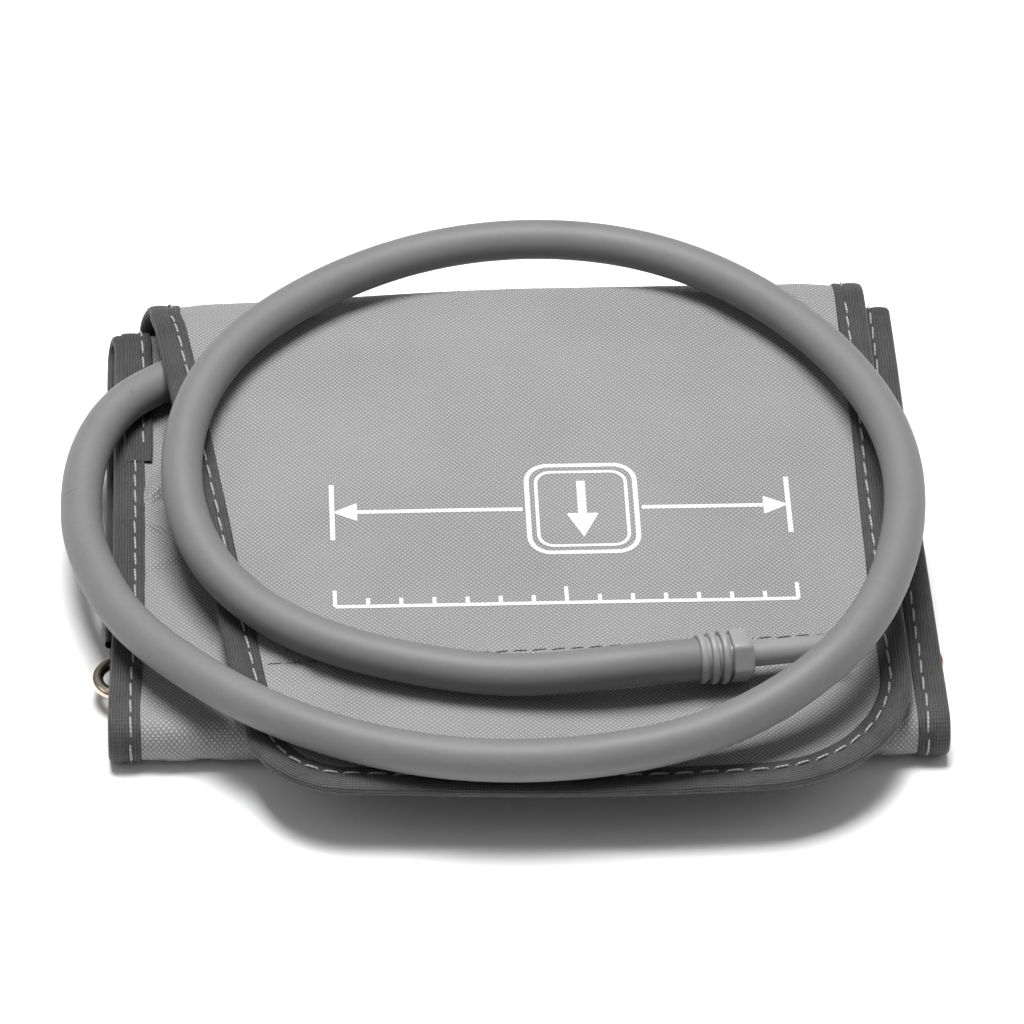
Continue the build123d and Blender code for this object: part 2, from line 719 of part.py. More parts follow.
PARTS = {
    "outer_cover": outer_cover,
    "lining": lining,
    "bladder_upper_sheet": bladder_upper_sheet,
    "bladder_lower_sheet": bladder_lower_sheet,
    "bladder_port": bladder_port,
    "port_grommet": port_grommet,
    "bladder_pocket_seam": bladder_pocket_seam,
    "binding_left": lambda: binding(-1),
    "binding_right": lambda: binding(1),
    "binding_thread_left": lambda: binding_thread(-1),
    "binding_thread_right": lambda: binding_thread(1),
    "binding_tape_end": binding_tape_end,
    "ring_sleeve": ring_sleeve,
    "ring_sleeve_stitching": ring_sleeve_stitching,
    "cinch_ring": cinch_ring,
    "loop_patch": loop_patch,
    "loop_patch_thread": loop_patch_thread,
    "flap_cover": flap_cover,
    "flap_interlining": flap_interlining,
    "flap_lining": flap_lining,
    "flap_binding": flap_binding,
    "flap_binding_thread": flap_binding_thread,
    "hook_patch": hook_patch,
    "hook_patch_thread": hook_patch_thread,
    "hose_root": hose_root,
    "hose_bend": hose_bend,
    "hose_coil": hose_coil,
    "air_plug": air_plug,
}

os.makedirs("parts", exist_ok=True)
for node, make in PARTS.items():
    shape = make()
    export_step(shape, "parts/" + node + ".step")
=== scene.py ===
import math

import bmesh
import bpy
import numpy as np
from mathutils import Matrix, Vector
from mathutils.bvhtree import BVHTree
from mathutils.noise import noise, seed_set


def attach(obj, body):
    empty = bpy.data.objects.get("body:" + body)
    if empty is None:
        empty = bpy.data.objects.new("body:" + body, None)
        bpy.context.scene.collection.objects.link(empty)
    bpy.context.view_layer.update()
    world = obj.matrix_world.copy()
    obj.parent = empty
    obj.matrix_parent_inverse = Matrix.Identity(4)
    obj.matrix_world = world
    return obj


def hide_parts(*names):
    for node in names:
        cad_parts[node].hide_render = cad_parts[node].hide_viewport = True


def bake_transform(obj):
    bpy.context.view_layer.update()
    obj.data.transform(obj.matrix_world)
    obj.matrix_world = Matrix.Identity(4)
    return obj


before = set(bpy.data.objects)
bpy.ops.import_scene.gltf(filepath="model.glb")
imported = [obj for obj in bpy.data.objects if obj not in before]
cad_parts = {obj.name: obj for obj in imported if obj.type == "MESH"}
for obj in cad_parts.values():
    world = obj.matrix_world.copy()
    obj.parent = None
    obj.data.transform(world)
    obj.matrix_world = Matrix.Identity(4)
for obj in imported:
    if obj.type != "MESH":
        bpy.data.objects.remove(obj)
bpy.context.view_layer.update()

seed_set(7)
rng = np.random.default_rng(7)
MM = 0.001

# ------------------------------------------------------------------ shape of the cuff, in mm
HALF_W = 75.0
RING_END_Y, INNER_FOLD_Y, FRONT_Y, BACK_Y = -26.0, 57.0, -51.0, 54.8
INNER_Z, INNER_R, FRONT_R, BACK_R = 4.6, 2.1, 3.85, 8.95
TOP_LEFT_X, TOP_RIGHT_X = -67.3, 69.2
FLAP_SLOPE, BEND_R = math.radians(6.3), 40.0
HOSE_R, HOSE_BORE_R = 3.8, 2.0
BACK_RUN, SLOPE_RUN, TIP_RUN = 19.8, 51.2, 70.0  # the flap's straight stretches
STITCH_INSET, LAPPED_STITCH_INSET, SHEET_INSET = 4.0, 5.4, 3.4
FACE_OUT, PINCH_OUT, PINCH_IN = 1.08, 0.56, 0.52  # cloth faces away from the middle line
FLAP_SWELL, TAPE_COVER, COVER_EASE = 0.44, 4.6, 7.0  # the cloth swells from under the tape
SEAM_LIFT_OUT, SEAM_LIFT_IN, INK_LIFT = 1.05, 1.0, 0.07
LEFT_FAN, FRONT_SKEW, CORNER_BACK, CORNER_UP, SLUMP = 0.75, 2.6, 2.3, 2.0, 1.8


def lay(point, heading, moves):
    """Straight and turning legs end to end: (length, left-turn radius or 0)."""
    legs, run = [], 0.0
    for length, radius in moves:
        legs.append((run, length, radius, point, heading))
        y, z, heading = walk(legs[-1], np.array([length]))
        point, heading, run = (y[0], z[0]), heading[0], run + length
    return legs


def walk(leg, d):
    """Points y, z and headings at distances d along one leg."""
    _, _, radius, (y, z), h = leg
    if radius == 0:
        return y + d * math.cos(h), z + d * math.sin(h), np.full_like(d, h)
    cy, cz, turn = y - radius * math.sin(h), z + radius * math.cos(h), h + d / radius
    return cy + radius * np.sin(turn), cz - radius * np.cos(turn), turn


LEGS = lay(
    (RING_END_Y, INNER_Z),
    0.0,
    [
        (INNER_FOLD_Y - RING_END_Y, 0),
        (math.pi * INNER_R, INNER_R),
        (INNER_FOLD_Y - FRONT_Y, 0),
        (math.pi * FRONT_R, FRONT_R),
        (BACK_Y - FRONT_Y, 0),
        (math.pi * BACK_R, BACK_R),
        (BACK_RUN, 0),
        (FLAP_SLOPE * BEND_R, BEND_R),
        (SLOPE_RUN, 0),
        (FLAP_SLOPE * BEND_R, -BEND_R),
        (TIP_RUN, 0),
    ],
)
S_MIDDLE, S_FRONT, S_BOTTOM, S_BACK, S_FLAP = (LEGS[i][0] for i in (2, 3, 4, 5, 6))


def profile(s):
    """Middle line of the panel at distance s from the ring end: y, z, heading."""
    s = np.asarray(s, float)
    y, z, h = np.empty_like(s), np.empty_like(s), np.empty_like(s)
    for i, leg in enumerate(LEGS):
        last = i == len(LEGS) - 1
        on = (s >= leg[0] - 1e-9) & ((s < leg[0] + leg[1]) | last)
        if on.any():
            y[on], z[on], h[on] = walk(leg, s[on] - leg[0])
    return y, z, h


FLAP_S = np.linspace(S_FLAP, S_FLAP + 142.0, 600)
FLAP_Y, _, _ = profile(FLAP_S)


def on_flap(y):
    """Middle line height, heading and s where the flap passes y."""
    s = np.interp(-np.asarray(y, float), -FLAP_Y, FLAP_S)
    _, z, h = profile(s)
    return z, h, s


def smooth(t):
    t = np.clip(t, 0.0, 1.0)
    return t * t * (3 - 2 * t)


def bell(t):
    return np.exp(-(t**2))


def side_x(side, z, s):
    """Side edge of the panel: straight along the roll, drawn in over the back fold. On the left the
    layers are fanned out a little, so the lower one shows past the upper one."""
    s = np.asarray(s, float)
    z = np.asarray(z, float)
    top = TOP_RIGHT_X if side > 0 else -TOP_LEFT_X
    pull = smooth((z - 1.2) / 5.5)
    if side < 0:
        pull = 0.7 * smooth((z - 1.2) / 3.8) + 0.3 * np.clip((z - 6.0) / 12.0, 0.0, 1.0) ** 2
    pull = np.where(s < S_BACK, 0.0, pull)
    fan = 0.0 if side > 0 else LEFT_FAN * (1 - 2 * smooth((s - S_MIDDLE + 7.0) / 10.0))
    fan = fan * (1 - smooth((s - S_FRONT + 30.0) / 30.0))
    return side * (HALF_W + (top - HALF_W) * pull + fan)


def pairs(x, y):
    """Two grids of values as one list of pairs."""
    return np.stack([np.ravel(x), np.ravel(y)], 1)


def distances(points):
    """Distance along a line of points, from its first."""
    return np.r_[0, np.cumsum(np.linalg.norm(np.diff(points, axis=0), axis=1))]


def points_at(d, run, line):
    """Points at distances d along a line, where run holds the distance at each of its points."""
    return np.stack([np.interp(d, run, line[:, k]) for k in range(line.shape[1])], 1)


def outward(h):
    """Unit normal of the panel's outer face at a heading."""
    return np.stack([np.zeros_like(h), np.sin(h), -np.cos(h)], -1)


def offset(x, y, z, h, out):
    """Points a distance out from the panel's middle line, as one list."""
    return np.stack([x, y + out * np.sin(h), z - out * np.cos(h)], -1).reshape(-1, 3)


def rounded(points, radii):
    """Polyline with its corners turned into arcs, about 0.8 mm a step."""
    out = [np.array(points[0], float)]
    for i in range(1, len(points) - 1):
        a, b, c = (np.array(points[k], float) for k in (i - 1, i, i + 1))
        u, v = (a - b) / np.linalg.norm(a - b), (c - b) / np.linalg.norm(c - b)
        half = math.acos(np.clip(u @ v, -1, 1)) / 2
        cut = radii[i] / math.tan(half)
        centre = b + (u + v) / np.linalg.norm(u + v) * radii[i] / math.sin(half)
        a0, a1 = b + u * cut - centre, b + v * cut - centre
        t0, t1 = math.atan2(a0[1], a0[0]), math.atan2(a1[1], a1[0])
        t1 = t0 + (t1 - t0 + math.pi) % (2 * math.pi) - math.pi
        for t in np.linspace(t0, t1, 24):
            out.append(centre + radii[i] * np.array([math.cos(t), math.sin(t)]))
    out.append(np.array(points[-1], float))
    line = np.array(out)
    run = distances(line)
    keep = np.r_[True, np.diff(run) > 1e-6]
    return points_at(np.r_[np.arange(0, run[-1], 0.8), run[-1]], run[keep], line[keep])


OUTLINE = rounded(
    [(TOP_LEFT_X, BACK_Y), (-48.6, -75.0), (9.5, -78.6), (68.4, -76.0), (TOP_RIGHT_X, BACK_Y)],
    [0, 19.0, 480.0, 30.0, 0],
)


def edge_distance(x, y):
    """Distance in from the flap's edge, and which side of it: + is inside."""
    p = pairs(x, y)
    a, b = OUTLINE[:-1], OUTLINE[1:]
    ab = b - a
    best = np.full(len(p), 1e9)
    for i in range(0, len(p), 4000):
        q = p[i : i + 4000, None, :]
        t = np.clip(((q - a) * ab).sum(2) / (ab * ab).sum(1), 0, 1)
        best[i : i + 4000] = np.linalg.norm(q - a - t[..., None] * ab, axis=2).min(1)
    loop = np.vstack([OUTLINE, [[TOP_RIGHT_X, 90.0], [TOP_LEFT_X, 90.0]]])
    inside = np.zeros(len(p), bool)
    for (x0, y0), (x1, y1) in zip(loop, np.roll(loop, -1, 0)):
        hit = (y0 > p[:, 1]) != (y1 > p[:, 1])
        at = x0 + (p[:, 1] - y0) * (x1 - x0) / ((y1 - y0) or 1e-9)
        inside ^= hit & (p[:, 0] < at)
    return np.where(inside, best, -best).reshape(np.shape(x))


def wave(x, y, scale, offset=0.0):
    """Slow smooth noise over an array of places, about -1 to 1."""
    flat = [noise((a / scale, b / scale, offset)) for a, b in zip(np.ravel(x), np.ravel(y))]
    return np.array(flat).reshape(np.shape(x))


# ------------------------------------------------------------------ mesh helpers
def add_object(name, data):
    obj = bpy.data.objects.new(name, data)
    bpy.context.scene.collection.objects.link(obj)
    return obj


def make_mesh(name, verts, faces, uv):
    """Object from points in mm; uv is one pair per point, also in mm. Nothing goes below the table."""
    mesh = bpy.data.meshes.new(name)
    if name.startswith(("fold_", "flap_")) and name != "flap_marks":
        verts = slump(verts)
    if name.startswith(("roll_", "lapped_")):
        verts = skew(verts)
    verts = np.array(verts, float)
    verts[:, 2] = np.maximum(verts[:, 2], 0.0)
    mesh.from_pydata((verts * MM).tolist(), [], [tuple(f) for f in faces])
    mesh.validate()
    layer = mesh.uv_layers.new(name="UVMap")
    at = np.zeros(len(mesh.loops), np.int32)
    mesh.loops.foreach_get("vertex_index", at)
    layer.data.foreach_set("uv", (np.asarray(uv, np.float32)[at] * MM).ravel())
    mesh.polygons.foreach_set("use_smooth", [True] * len(mesh.polygons))
    mesh.update()
    return add_object(name, mesh)


def grid_faces(rows, cols, wrap_rows=False, wrap_cols=False):
    """Faces of a grid of points; either way round can close on itself."""
    r = np.arange(rows if wrap_rows else rows - 1)
    c = np.arange(cols if wrap_cols else cols - 1)
    r, c = np.meshgrid(r, c, indexing="ij")
    r1, c1 = (r + 1) % rows, (c + 1) % cols
    quads = np.stack([r * cols + c, r * cols + c1, r1 * cols + c1, r1 * cols + c], -1)
    return quads.reshape(-1, 4).tolist()


def turned(faces):
    """The same faces seen from the other side."""
    return [f[::-1] for f in faces]


def rework(obj, change):
    """Run one bmesh change on an object's mesh."""
    mesh = bmesh.new()
    mesh.from_mesh(obj.data)
    change(mesh)
    mesh.to_mesh(obj.data)
    mesh.free()


def face_outward(obj):
    rework(obj, lambda mesh: bmesh.ops.recalc_face_normals(mesh, faces=mesh.faces))


def dress(obj, material, body, replaces=()):
    """Give a piece its material, the body it rides on and the CAD nodes it stands for."""
    obj.data.materials.append(material)
    if body:
        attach(obj, body)
    if replaces:
        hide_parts(*replaces)
    return obj


def tangents(points):
    t = np.gradient(points, axis=0)
    return t / np.maximum(np.linalg.norm(t, axis=1), 1e-9)[:, None]


def frames_along(points):
    """Tangent and two normals along a curve, carried without twist."""
    t = tangents(points)
    n = np.cross(t[0], [0, 0, 1.0])
    if np.linalg.norm(n) < 1e-6:
        n = np.array([1.0, 0, 0])
    side = np.zeros_like(points)
    side[0] = n / np.linalg.norm(n)
    for i in range(1, len(points)):
        n = side[i - 1] - t[i] * (side[i - 1] @ t[i])
        side[i] = n / np.linalg.norm(n)
    return t, side, np.cross(t, side)


def around(sides):
    return np.linspace(0, 2 * math.pi, sides, endpoint=False)


def tube_data(points, radius, sides):
    """Verts, faces and uv of a round skin along a curve; radius may vary along it."""
    points = np.asarray(points, float)
    t, a, b = frames_along(points)
    radius = np.broadcast_to(np.asarray(radius, float), (len(points),))
    w = around(sides)
    ring = np.cos(w)[:, None] * a[:, None, :] + np.sin(w)[:, None] * b[:, None, :]
    verts = (points[:, None, :] + radius[:, None, None] * ring).reshape(-1, 3)
    uv = np.stack([np.tile(w * radius.mean(), len(points)), np.repeat(distances(points), sides)], 1)
    return verts, turned(grid_faces(len(points), sides, wrap_cols=True)), uv


def join_data(parts):
    """Several sets of verts, faces and uv as one."""
    verts, faces, uvs, base = [], [], [], 0
    for v, f, uv in parts:
        verts.append(v)
        faces += [[i + base for i in q] for q in f]
        uvs.append(uv)
        base += len(v)
    return np.vstack(verts), faces, np.vstack(uvs)


def spline(points, step=0.5):
    """Natural cubic curve through points, parted by chord length."""
    p = np.array(points, float)
    n = len(p)
    t = distances(p)
    h = np.diff(t)
    a = np.zeros((n, n))
    r = np.zeros((n, 3))
    a[0, 0] = a[-1, -1] = 1
    for i in range(1, n - 1):
        a[i, i - 1], a[i, i], a[i, i + 1] = h[i - 1], 2 * (h[i - 1] + h[i]), h[i]
        r[i] = 6 * ((p[i + 1] - p[i]) / h[i] - (p[i] - p[i - 1]) / h[i - 1])
    m = np.linalg.solve(a, r)
    u = np.linspace(0, t[-1], int(t[-1] / step) + 1)
    k = np.clip(np.searchsorted(t, u, side="right") - 1, 0, n - 2)
    x, hk = (u - t[k])[:, None], h[k][:, None]
    return (
        m[k] * (hk - x) ** 3 / (6 * hk)
        + m[k + 1] * x**3 / (6 * hk)
        + (p[k] / hk - m[k] * hk / 6) * (hk - x)
        + (p[k + 1] / hk - m[k + 1] * hk / 6) * x
    )


# ------------------------------------------------------------------ materials
class Graph:
    """Small helper to write a node material as a chain of calls."""

    def __init__(self, name, roughness=0.6, metallic=0.0, specular=0.5):
        self.mat = bpy.data.materials.new(name)
        self.mat.use_nodes = True
        self.tree = self.mat.node_tree
        self.bsdf = self.tree.nodes["Principled BSDF"]
        self.feed(self.bsdf, Roughness=roughness, Metallic=metallic)
        self.bsdf.inputs["Specular IOR Level"].default_value = specular

    def node(self, kind, **values):
        n = self.tree.nodes.new(kind)
        for key, value in values.items():
            setattr(n, key, value)
        return n

    def feed(self, node, *in_order, **by_name):
        """Put values or links on a node's inputs."""
        for key, value in (*enumerate(in_order), *by_name.items()):
            self.put(node.inputs[key], value)
        return node

    def put(self, socket, value):
        if isinstance(value, bpy.types.NodeSocket):
            self.tree.links.new(value, socket)
        elif value is not None:
            socket.default_value = value

    def math(self, op, a, b=None, c=None, clamp=False):
        return self.feed(self.node("ShaderNodeMath", operation=op, use_clamp=clamp), a, b, c).outputs[0]

    def times(self, a, b, clamp=False):
        return self.math("MULTIPLY", a, b, clamp=clamp)

    def times_add(self, a, b, c):
        return self.math("MULTIPLY_ADD", a, b, c)

    def drift(self, scale, amount, vector):
        """Noise centred on zero, to make a pattern wander."""
        return self.times(self.math("SUBTRACT", self.noise(scale, 2, vector=vector), 0.5), amount)

    def stripes(self, along, pitch):
        """Sine of a full turn every pitch."""
        return self.math("SINE", self.times(along, 2 * math.pi / pitch))

    def cells(self, scale):
        """Distance to the middle of the nearest cell, in object space."""
        n = self.feed(self.node("ShaderNodeTexVoronoi"), Scale=scale, Vector=self.point())
        return n.outputs["Distance"]

    def uv(self):
        """UV in mm, as x and y."""
        n = self.node("ShaderNodeUVMap", uv_map="UVMap")
        split = self.node("ShaderNodeSeparateXYZ")
        self.put(split.inputs[0], n.outputs[0])
        x, y = (self.times(split.outputs[k], 1 / MM) for k in (0, 1))
        return x, y

    def point(self):
        return self.node("ShaderNodeTexCoord").outputs["Object"]

    def noise(self, scale, detail=2.0, rough=0.5, vector=None):
        n = self.feed(self.node("ShaderNodeTexNoise"), Scale=scale, Detail=detail, Roughness=rough)
        return self.feed(n, Vector=self.point() if vector is None else vector).outputs["Fac"]

    def vec(self, x, y, z=0.0):
        return self.feed(self.node("ShaderNodeCombineXYZ"), x, y, z).outputs[0]

    def ramp(self, fac, stops):
        n = self.node("ShaderNodeValToRGB")
        el = n.color_ramp.elements
        while len(el) < len(stops):
            el.new(0.5)
        for e, (at, g) in zip(el, stops):
            e.position = at
            e.color = (g, g, g, 1) if not isinstance(g, tuple) else (*g, 1)
        self.put(n.inputs[0], fac)
        return n.outputs[0]

    def mix(self, fac, a, b):
        n = self.node("ShaderNodeMix", data_type="RGBA")
        for socket, value in zip((n.inputs[0], n.inputs[6], n.inputs[7]), (fac, a, b)):
            if isinstance(value, (int, float)) and socket is not n.inputs[0]:
                value = (value, value, value, 1)
            self.put(socket, value)
        return n.outputs[2]

    def bump(self, height, distance, strength=1.0):
        n = self.node("ShaderNodeBump")
        return self.feed(n, Distance=distance, Strength=strength, Height=height).outputs[0]

    def finish(self, color=None, normal=None, roughness=None, sheen=None):
        self.put(self.bsdf.inputs["Base Color"], color)
        self.feed(self.bsdf, Normal=normal, Roughness=roughness)
        if sheen:
            self.bsdf.inputs["Sheen Weight"].default_value = sheen
            self.bsdf.inputs["Sheen Roughness"].default_value = 0.45
        return self.mat


def woven(name, dark, light, pitch, roughness=0.62, specular=0.45, sheen=0.0, relief=0.00016):
    """Plain basket weave with raised yarn crossings, slightly uneven. Relief is in metres."""
    g = Graph(name, roughness, specular=specular)
    x, y = g.uv()
    flat = g.vec(x, y)
    drift_x = g.drift(0.35, 0.5, flat)
    drift_y = g.drift(0.3, 0.5, g.vec(y, x, 5.0))
    warp = g.stripes(g.math("ADD", x, drift_x), 2 * pitch)
    weft = g.stripes(g.math("ADD", y, drift_y), 2 * pitch)
    cross = g.times(warp, weft)
    up = g.math("ABSOLUTE", cross)
    over = g.math("MAXIMUM", cross, 0.0)
    height = g.math("ADD", g.times(over, 0.75), g.times(up, 0.25))
    fibre = g.noise(9.0, 3, vector=g.vec(g.times(x, 0.35), y))
    tone = g.times_add(fibre, 0.22, g.times_add(over, 0.62, 0.12))
    broad = g.noise(0.035, 3, vector=flat)
    tone = g.times_add(broad, 0.14, g.math("SUBTRACT", tone, 0.03))
    color = g.ramp(tone, [(0.08, dark), (0.40, dark * 0.45 + light * 0.55), (0.95, light)])
    bump = g.bump(height, relief, 0.85)
    rough = g.times_add(height, -0.16, roughness + 0.08)
    return g.finish(color, bump, rough, sheen)


def ribbed(name, dark, light, pitch=0.52, pick_pitch=0.62):
    """Edge tape with ribs along its length and a slightly fuzzy face."""
    g = Graph(name, 0.7, specular=0.35)
    x, y = g.uv()
    wander = g.drift(0.25, 0.55, g.vec(x, y))
    rib = g.stripes(g.math("ADD", x, wander), pitch)
    rib = g.times_add(rib, 0.5, 0.5)
    pick = g.noise(1.0, 4, 0.65, vector=g.vec(g.times(x, 2.6), g.times(y, 0.8)))
    streak = g.noise(1.0, 3, vector=g.vec(g.times(x, 4.5), g.times(y, 0.09), 3.0))
    across = g.stripes(y, pick_pitch)
    patchy = g.noise(0.12, 2, vector=g.vec(x, y, 9.0))
    across = g.times_add(across, 0.5, 0.5)
    cross = g.times(across, g.ramp(patchy, [(0.42, 0.0), (0.62, 1.0)]))
    tone = g.times_add(rib, 0.26, g.times(pick, 0.50))
    tone = g.times_add(cross, 0.16, tone)
    tone = g.times_add(streak, 0.30, tone)
    color = g.ramp(tone, [(0.25, dark), (0.62, (dark + light) / 2), (0.95, light)])
    height = g.times_add(rib, 0.7, g.times(pick, 0.5))
    return g.finish(color, g.bump(height, 0.00014, 0.7), None, 0.1)


def thread_mat(name, dark, light):
    """Twisted two-ply thread: slanting plies along each stitch."""
    g = Graph(name, 0.55, specular=0.4)
    x, y = g.uv()
    ply = g.math("SINE", g.times(g.math("ADD", x, y), 8.0))
    ply = g.times_add(ply, 0.5, 0.5)
    fluff = g.noise(6.0, 2, vector=g.vec(x, y))
    tone = g.times_add(ply, 0.55, g.times(fluff, 0.5))
    color = g.ramp(tone, [(0.15, dark), (0.9, light)])
    return g.finish(color, g.bump(ply, 0.00008, 0.7))


# Centre and reach of the crinkled kink on top of the hose, which is darkened with painted shade.
SHADED_KINK_AT, SHADED_KINK_R = (0.0125, 0.0664, 0.0285), 0.0052


def hose_mat():
    """Soft matte hose: faint mould mottling, fine scuffs, a few dark specks, and one crinkled kink patch
    on top darkened with painted shade.
    """
    g = Graph("hose_soft_rubber", 0.5, specular=0.35)
    p = g.point()
    mottle = g.noise(60.0, 4, 0.6, p)
    fine = g.noise(900.0, 3, 0.6, p)
    tone = g.times_add(mottle, 0.55, g.times(fine, 0.45))
    color = g.ramp(tone, [(0.2, 0.142), (0.8, 0.178)])
    near_cell = g.cells(95.0)
    rare = g.noise(45.0, 1, vector=p)
    speck = g.times(g.math("LESS_THAN", near_cell, 0.035), g.math("GREATER_THAN", rare, 0.56))
    color = g.mix(g.times(speck, 0.45), color, 0.09)
    near = g.feed(g.node("ShaderNodeVectorMath", operation="DISTANCE"), p, SHADED_KINK_AT)
    patch = g.math("SUBTRACT", 1.0, g.math("DIVIDE", near.outputs["Value"], SHADED_KINK_R), clamp=True)
    kink_crinkle_and_shade = g.times(patch, g.noise(420.0, 2, vector=p), clamp=True)
    # painted shade: the kink patch is darkened toward 0.12 in place of the shade in its crinkles; the
    # same mask also raises its bump
    color = g.mix(g.times(kink_crinkle_and_shade, 0.75), color, 0.12)
    rough = g.times_add(mottle, 0.14, 0.47)
    height = g.times_add(fine, 0.5, g.times(kink_crinkle_and_shade, 1.4))
    return g.finish(color, g.bump(height, 0.00006, 0.6), rough)


def moulded(name, dark, light, roughness=0.42):
    """Moulded plastic: slight texture, and a painted highlight that makes its sharp edges paler."""
    g = Graph(name, roughness, specular=0.45)
    p = g.point()
    fine = g.noise(1400.0, 3, 0.6, p)
    broad = g.noise(120.0, 3, 0.5, p)
    geo = g.node("ShaderNodeNewGeometry")
    # painted highlight: convex edges, picked out by pointiness, are mixed toward a paler grey
    edge = g.ramp(geo.outputs["Pointiness"], [(0.50, 0.0), (0.60, 1.0)])
    tone = g.times_add(broad, 0.6, g.times(fine, 0.4))
    color = g.ramp(tone, [(0.25, dark), (0.8, light)])
    color = g.mix(g.times(edge, 0.35), color, light * 1.35)
    bump = g.bump(fine, 0.00003, 0.5)
    return g.finish(color, bump, g.times_add(broad, 0.16, roughness - 0.06))


def film(name, dark, light):
    """Rubbery film with a fine pebble."""
    g = Graph(name, 0.48, specular=0.4)
    p = g.point()
    pebble = g.noise(700.0, 3, 0.6, p)
    broad = g.noise(50.0, 3, 0.5, p)
    tone = g.times_add(pebble, 0.5, g.times(broad, 0.5))
    color = g.ramp(tone, [(0.25, dark), (0.8, light)])
    return g.finish(color, g.bump(pebble, 0.00005, 0.6))


def wire_mat():
    """Plated wire: warm bright steel with fine drawing lines and dull spots."""
    g = Graph("ring_plated_wire", 0.16, metallic=1.0)
    x, y = g.uv()
    lines = g.noise(1.0, 3, vector=g.vec(g.times(x, 5.0), g.times(y, 0.15)))
    spots = g.noise(160.0, 3, 0.6)
    color = g.ramp(spots, [(0.3, (0.42, 0.33, 0.24)), (0.7, (0.70, 0.62, 0.52))])
    rough = g.times_add(lines, 0.18, g.times(spots, 0.16))
    return g.finish(color, g.bump(lines, 0.00003, 0.4), rough)


def pile(name, dark, light, scale, depth):
    """Brushed loops or moulded hooks, as a dense cellular nap."""
    g = Graph(name, 0.8, specular=0.25)
    near_cell = g.cells(scale)
    fuzz = g.noise(scale * 1.7, 4, 0.7)
    tone = g.times_add(near_cell, -0.7, g.math("ADD", fuzz, 0.25))
    color = g.ramp(tone, [(0.2, dark), (0.85, light)])
    return g.finish(color, g.bump(tone, depth, 0.9), None, 0.25)


GREY_CLOTH = woven("cover_oxford_weave", 0.066, 0.415, 0.47)
BLACK_CLOTH = woven("lining_black_weave", 0.006, 0.035, 0.45, 0.7, 0.35, 0.1)
INK = woven("print_white_ink", 0.50, 0.80, 0.47, 0.55, 0.4, relief=0.00007)
TAPE = ribbed("edge_tape_grosgrain", 0.006, 0.090)
LIGHT_THREAD = thread_mat("seam_thread_grey", 0.16, 0.44)
DARK_THREAD = thread_mat("seam_thread_dark", 0.05, 0.20)
HOSE = hose_mat()
PLUG = moulded("plug_moulded_grey", 0.20, 0.26)
PORT = moulded("port_moulded_grey", 0.17, 0.22)
FILM = film("bladder_film", 0.03, 0.07)
WIRE = wire_mat()
LOOPS = pile("loop_brushed_pile", 0.12, 0.36, 1500.0, 0.0004)
HOOKS = pile("hook_moulded_nap", 0.008, 0.05, 1900.0, 0.0004)


# ------------------------------------------------------------------ cloth settling
def settle(points, faces, pinned, swell, cap, frames=18):
    """Cloth simulation on a copy of a sheet held by its border: the cloth is a touch larger than
    its frame, so it buckles softly. Returns how far each point moved, in mm, capped. The solver
    works on the sheet at ten times its size."""
    scale = 10.0
    mesh = bpy.data.meshes.new("settle")
    mesh.from_pydata((points * MM * scale).tolist(), [], faces)
    obj = add_object("settle", mesh)
    group = obj.vertex_groups.new(name="pin")
    for i, w in enumerate(pinned):
        group.add([i], float(w), "REPLACE")
    cloth = obj.modifiers.new("Cloth", "CLOTH")
    c = cloth.settings
    c.quality = 6
    c.mass = 0.25
    c.tension_stiffness = c.compression_stiffness = 30
    c.shear_stiffness = 10
    c.bending_stiffness = 1.2
    c.vertex_group_mass = "pin"
    c.shrink_min = -swell
    c.effector_weights.gravity = 0.35
    cloth.collision_settings.use_collision = False
    scene = bpy.context.scene
    for f in range(1, frames + 1):
        scene.frame_set(f)
    graph = bpy.context.evaluated_depsgraph_get()
    result = obj.evaluated_get(graph).to_mesh()
    co = np.array([v.co for v in result.vertices], float) / (MM * scale)
    scene.frame_set(1)
    bpy.data.objects.remove(obj)
    moved = co - points
    size = np.linalg.norm(moved, axis=1)
    keep = cap * np.tanh(size / cap) / np.maximum(size, 1e-9)
    return moved * keep[:, None]


def sampler(rows, cols, field):
    """Reader of a grid of values at any place; its rows and columns have even steps."""

    def read(row, col):
        i = np.clip((row - rows[0]) / (rows[1] - rows[0]), 0, len(rows) - 1.001)
        j = np.clip((col - cols[0]) / (cols[1] - cols[0]), 0, len(cols) - 1.001)
        i0, j0 = i.astype(int), j.astype(int)
        a, b = i - i0, j - j0
        return (
            field[i0, j0] * (1 - a) * (1 - b)
            + field[i0 + 1, j0] * a * (1 - b)
            + field[i0, j0 + 1] * (1 - a) * b
            + field[i0 + 1, j0 + 1] * a * b
        )

    return read


# ------------------------------------------------------------------ rolled panel
def section(side, inset, s):
    """Middle-line point at an inset from one side edge."""
    y, z, h = profile(s)
    return side_x(side, z, s) - side * inset, y, z, h


def face_height(inset, face):
    """Cloth face away from the middle line: full inside, pinched under the tape."""
    edge = PINCH_OUT if face > 0 else -PINCH_IN
    return edge + (face * FACE_OUT - edge) * smooth((inset - TAPE_COVER) / COVER_EASE)


def flap_face(inset, face):
    """The same for the flap, which is a little thinner inside."""
    edge = PINCH_OUT if face > 0 else -PINCH_IN
    return edge + face * FLAP_SWELL * smooth((inset - TAPE_COVER) / COVER_EASE)


def slump(verts):
    """The back fold has sunk a little on its left, where nothing fills it."""
    v = np.array(verts, float)
    x, y, z = v.T
    fold = smooth((y - 46.0) / 12.0) * smooth((z - 3.0) / 12.0)
    sunk = SLUMP * (0.18 * fold + 0.82 * fold * smooth((8.0 - x) / 72.0))
    v[:, 1] -= sunk
    v[:, 2] -= sunk
    return v


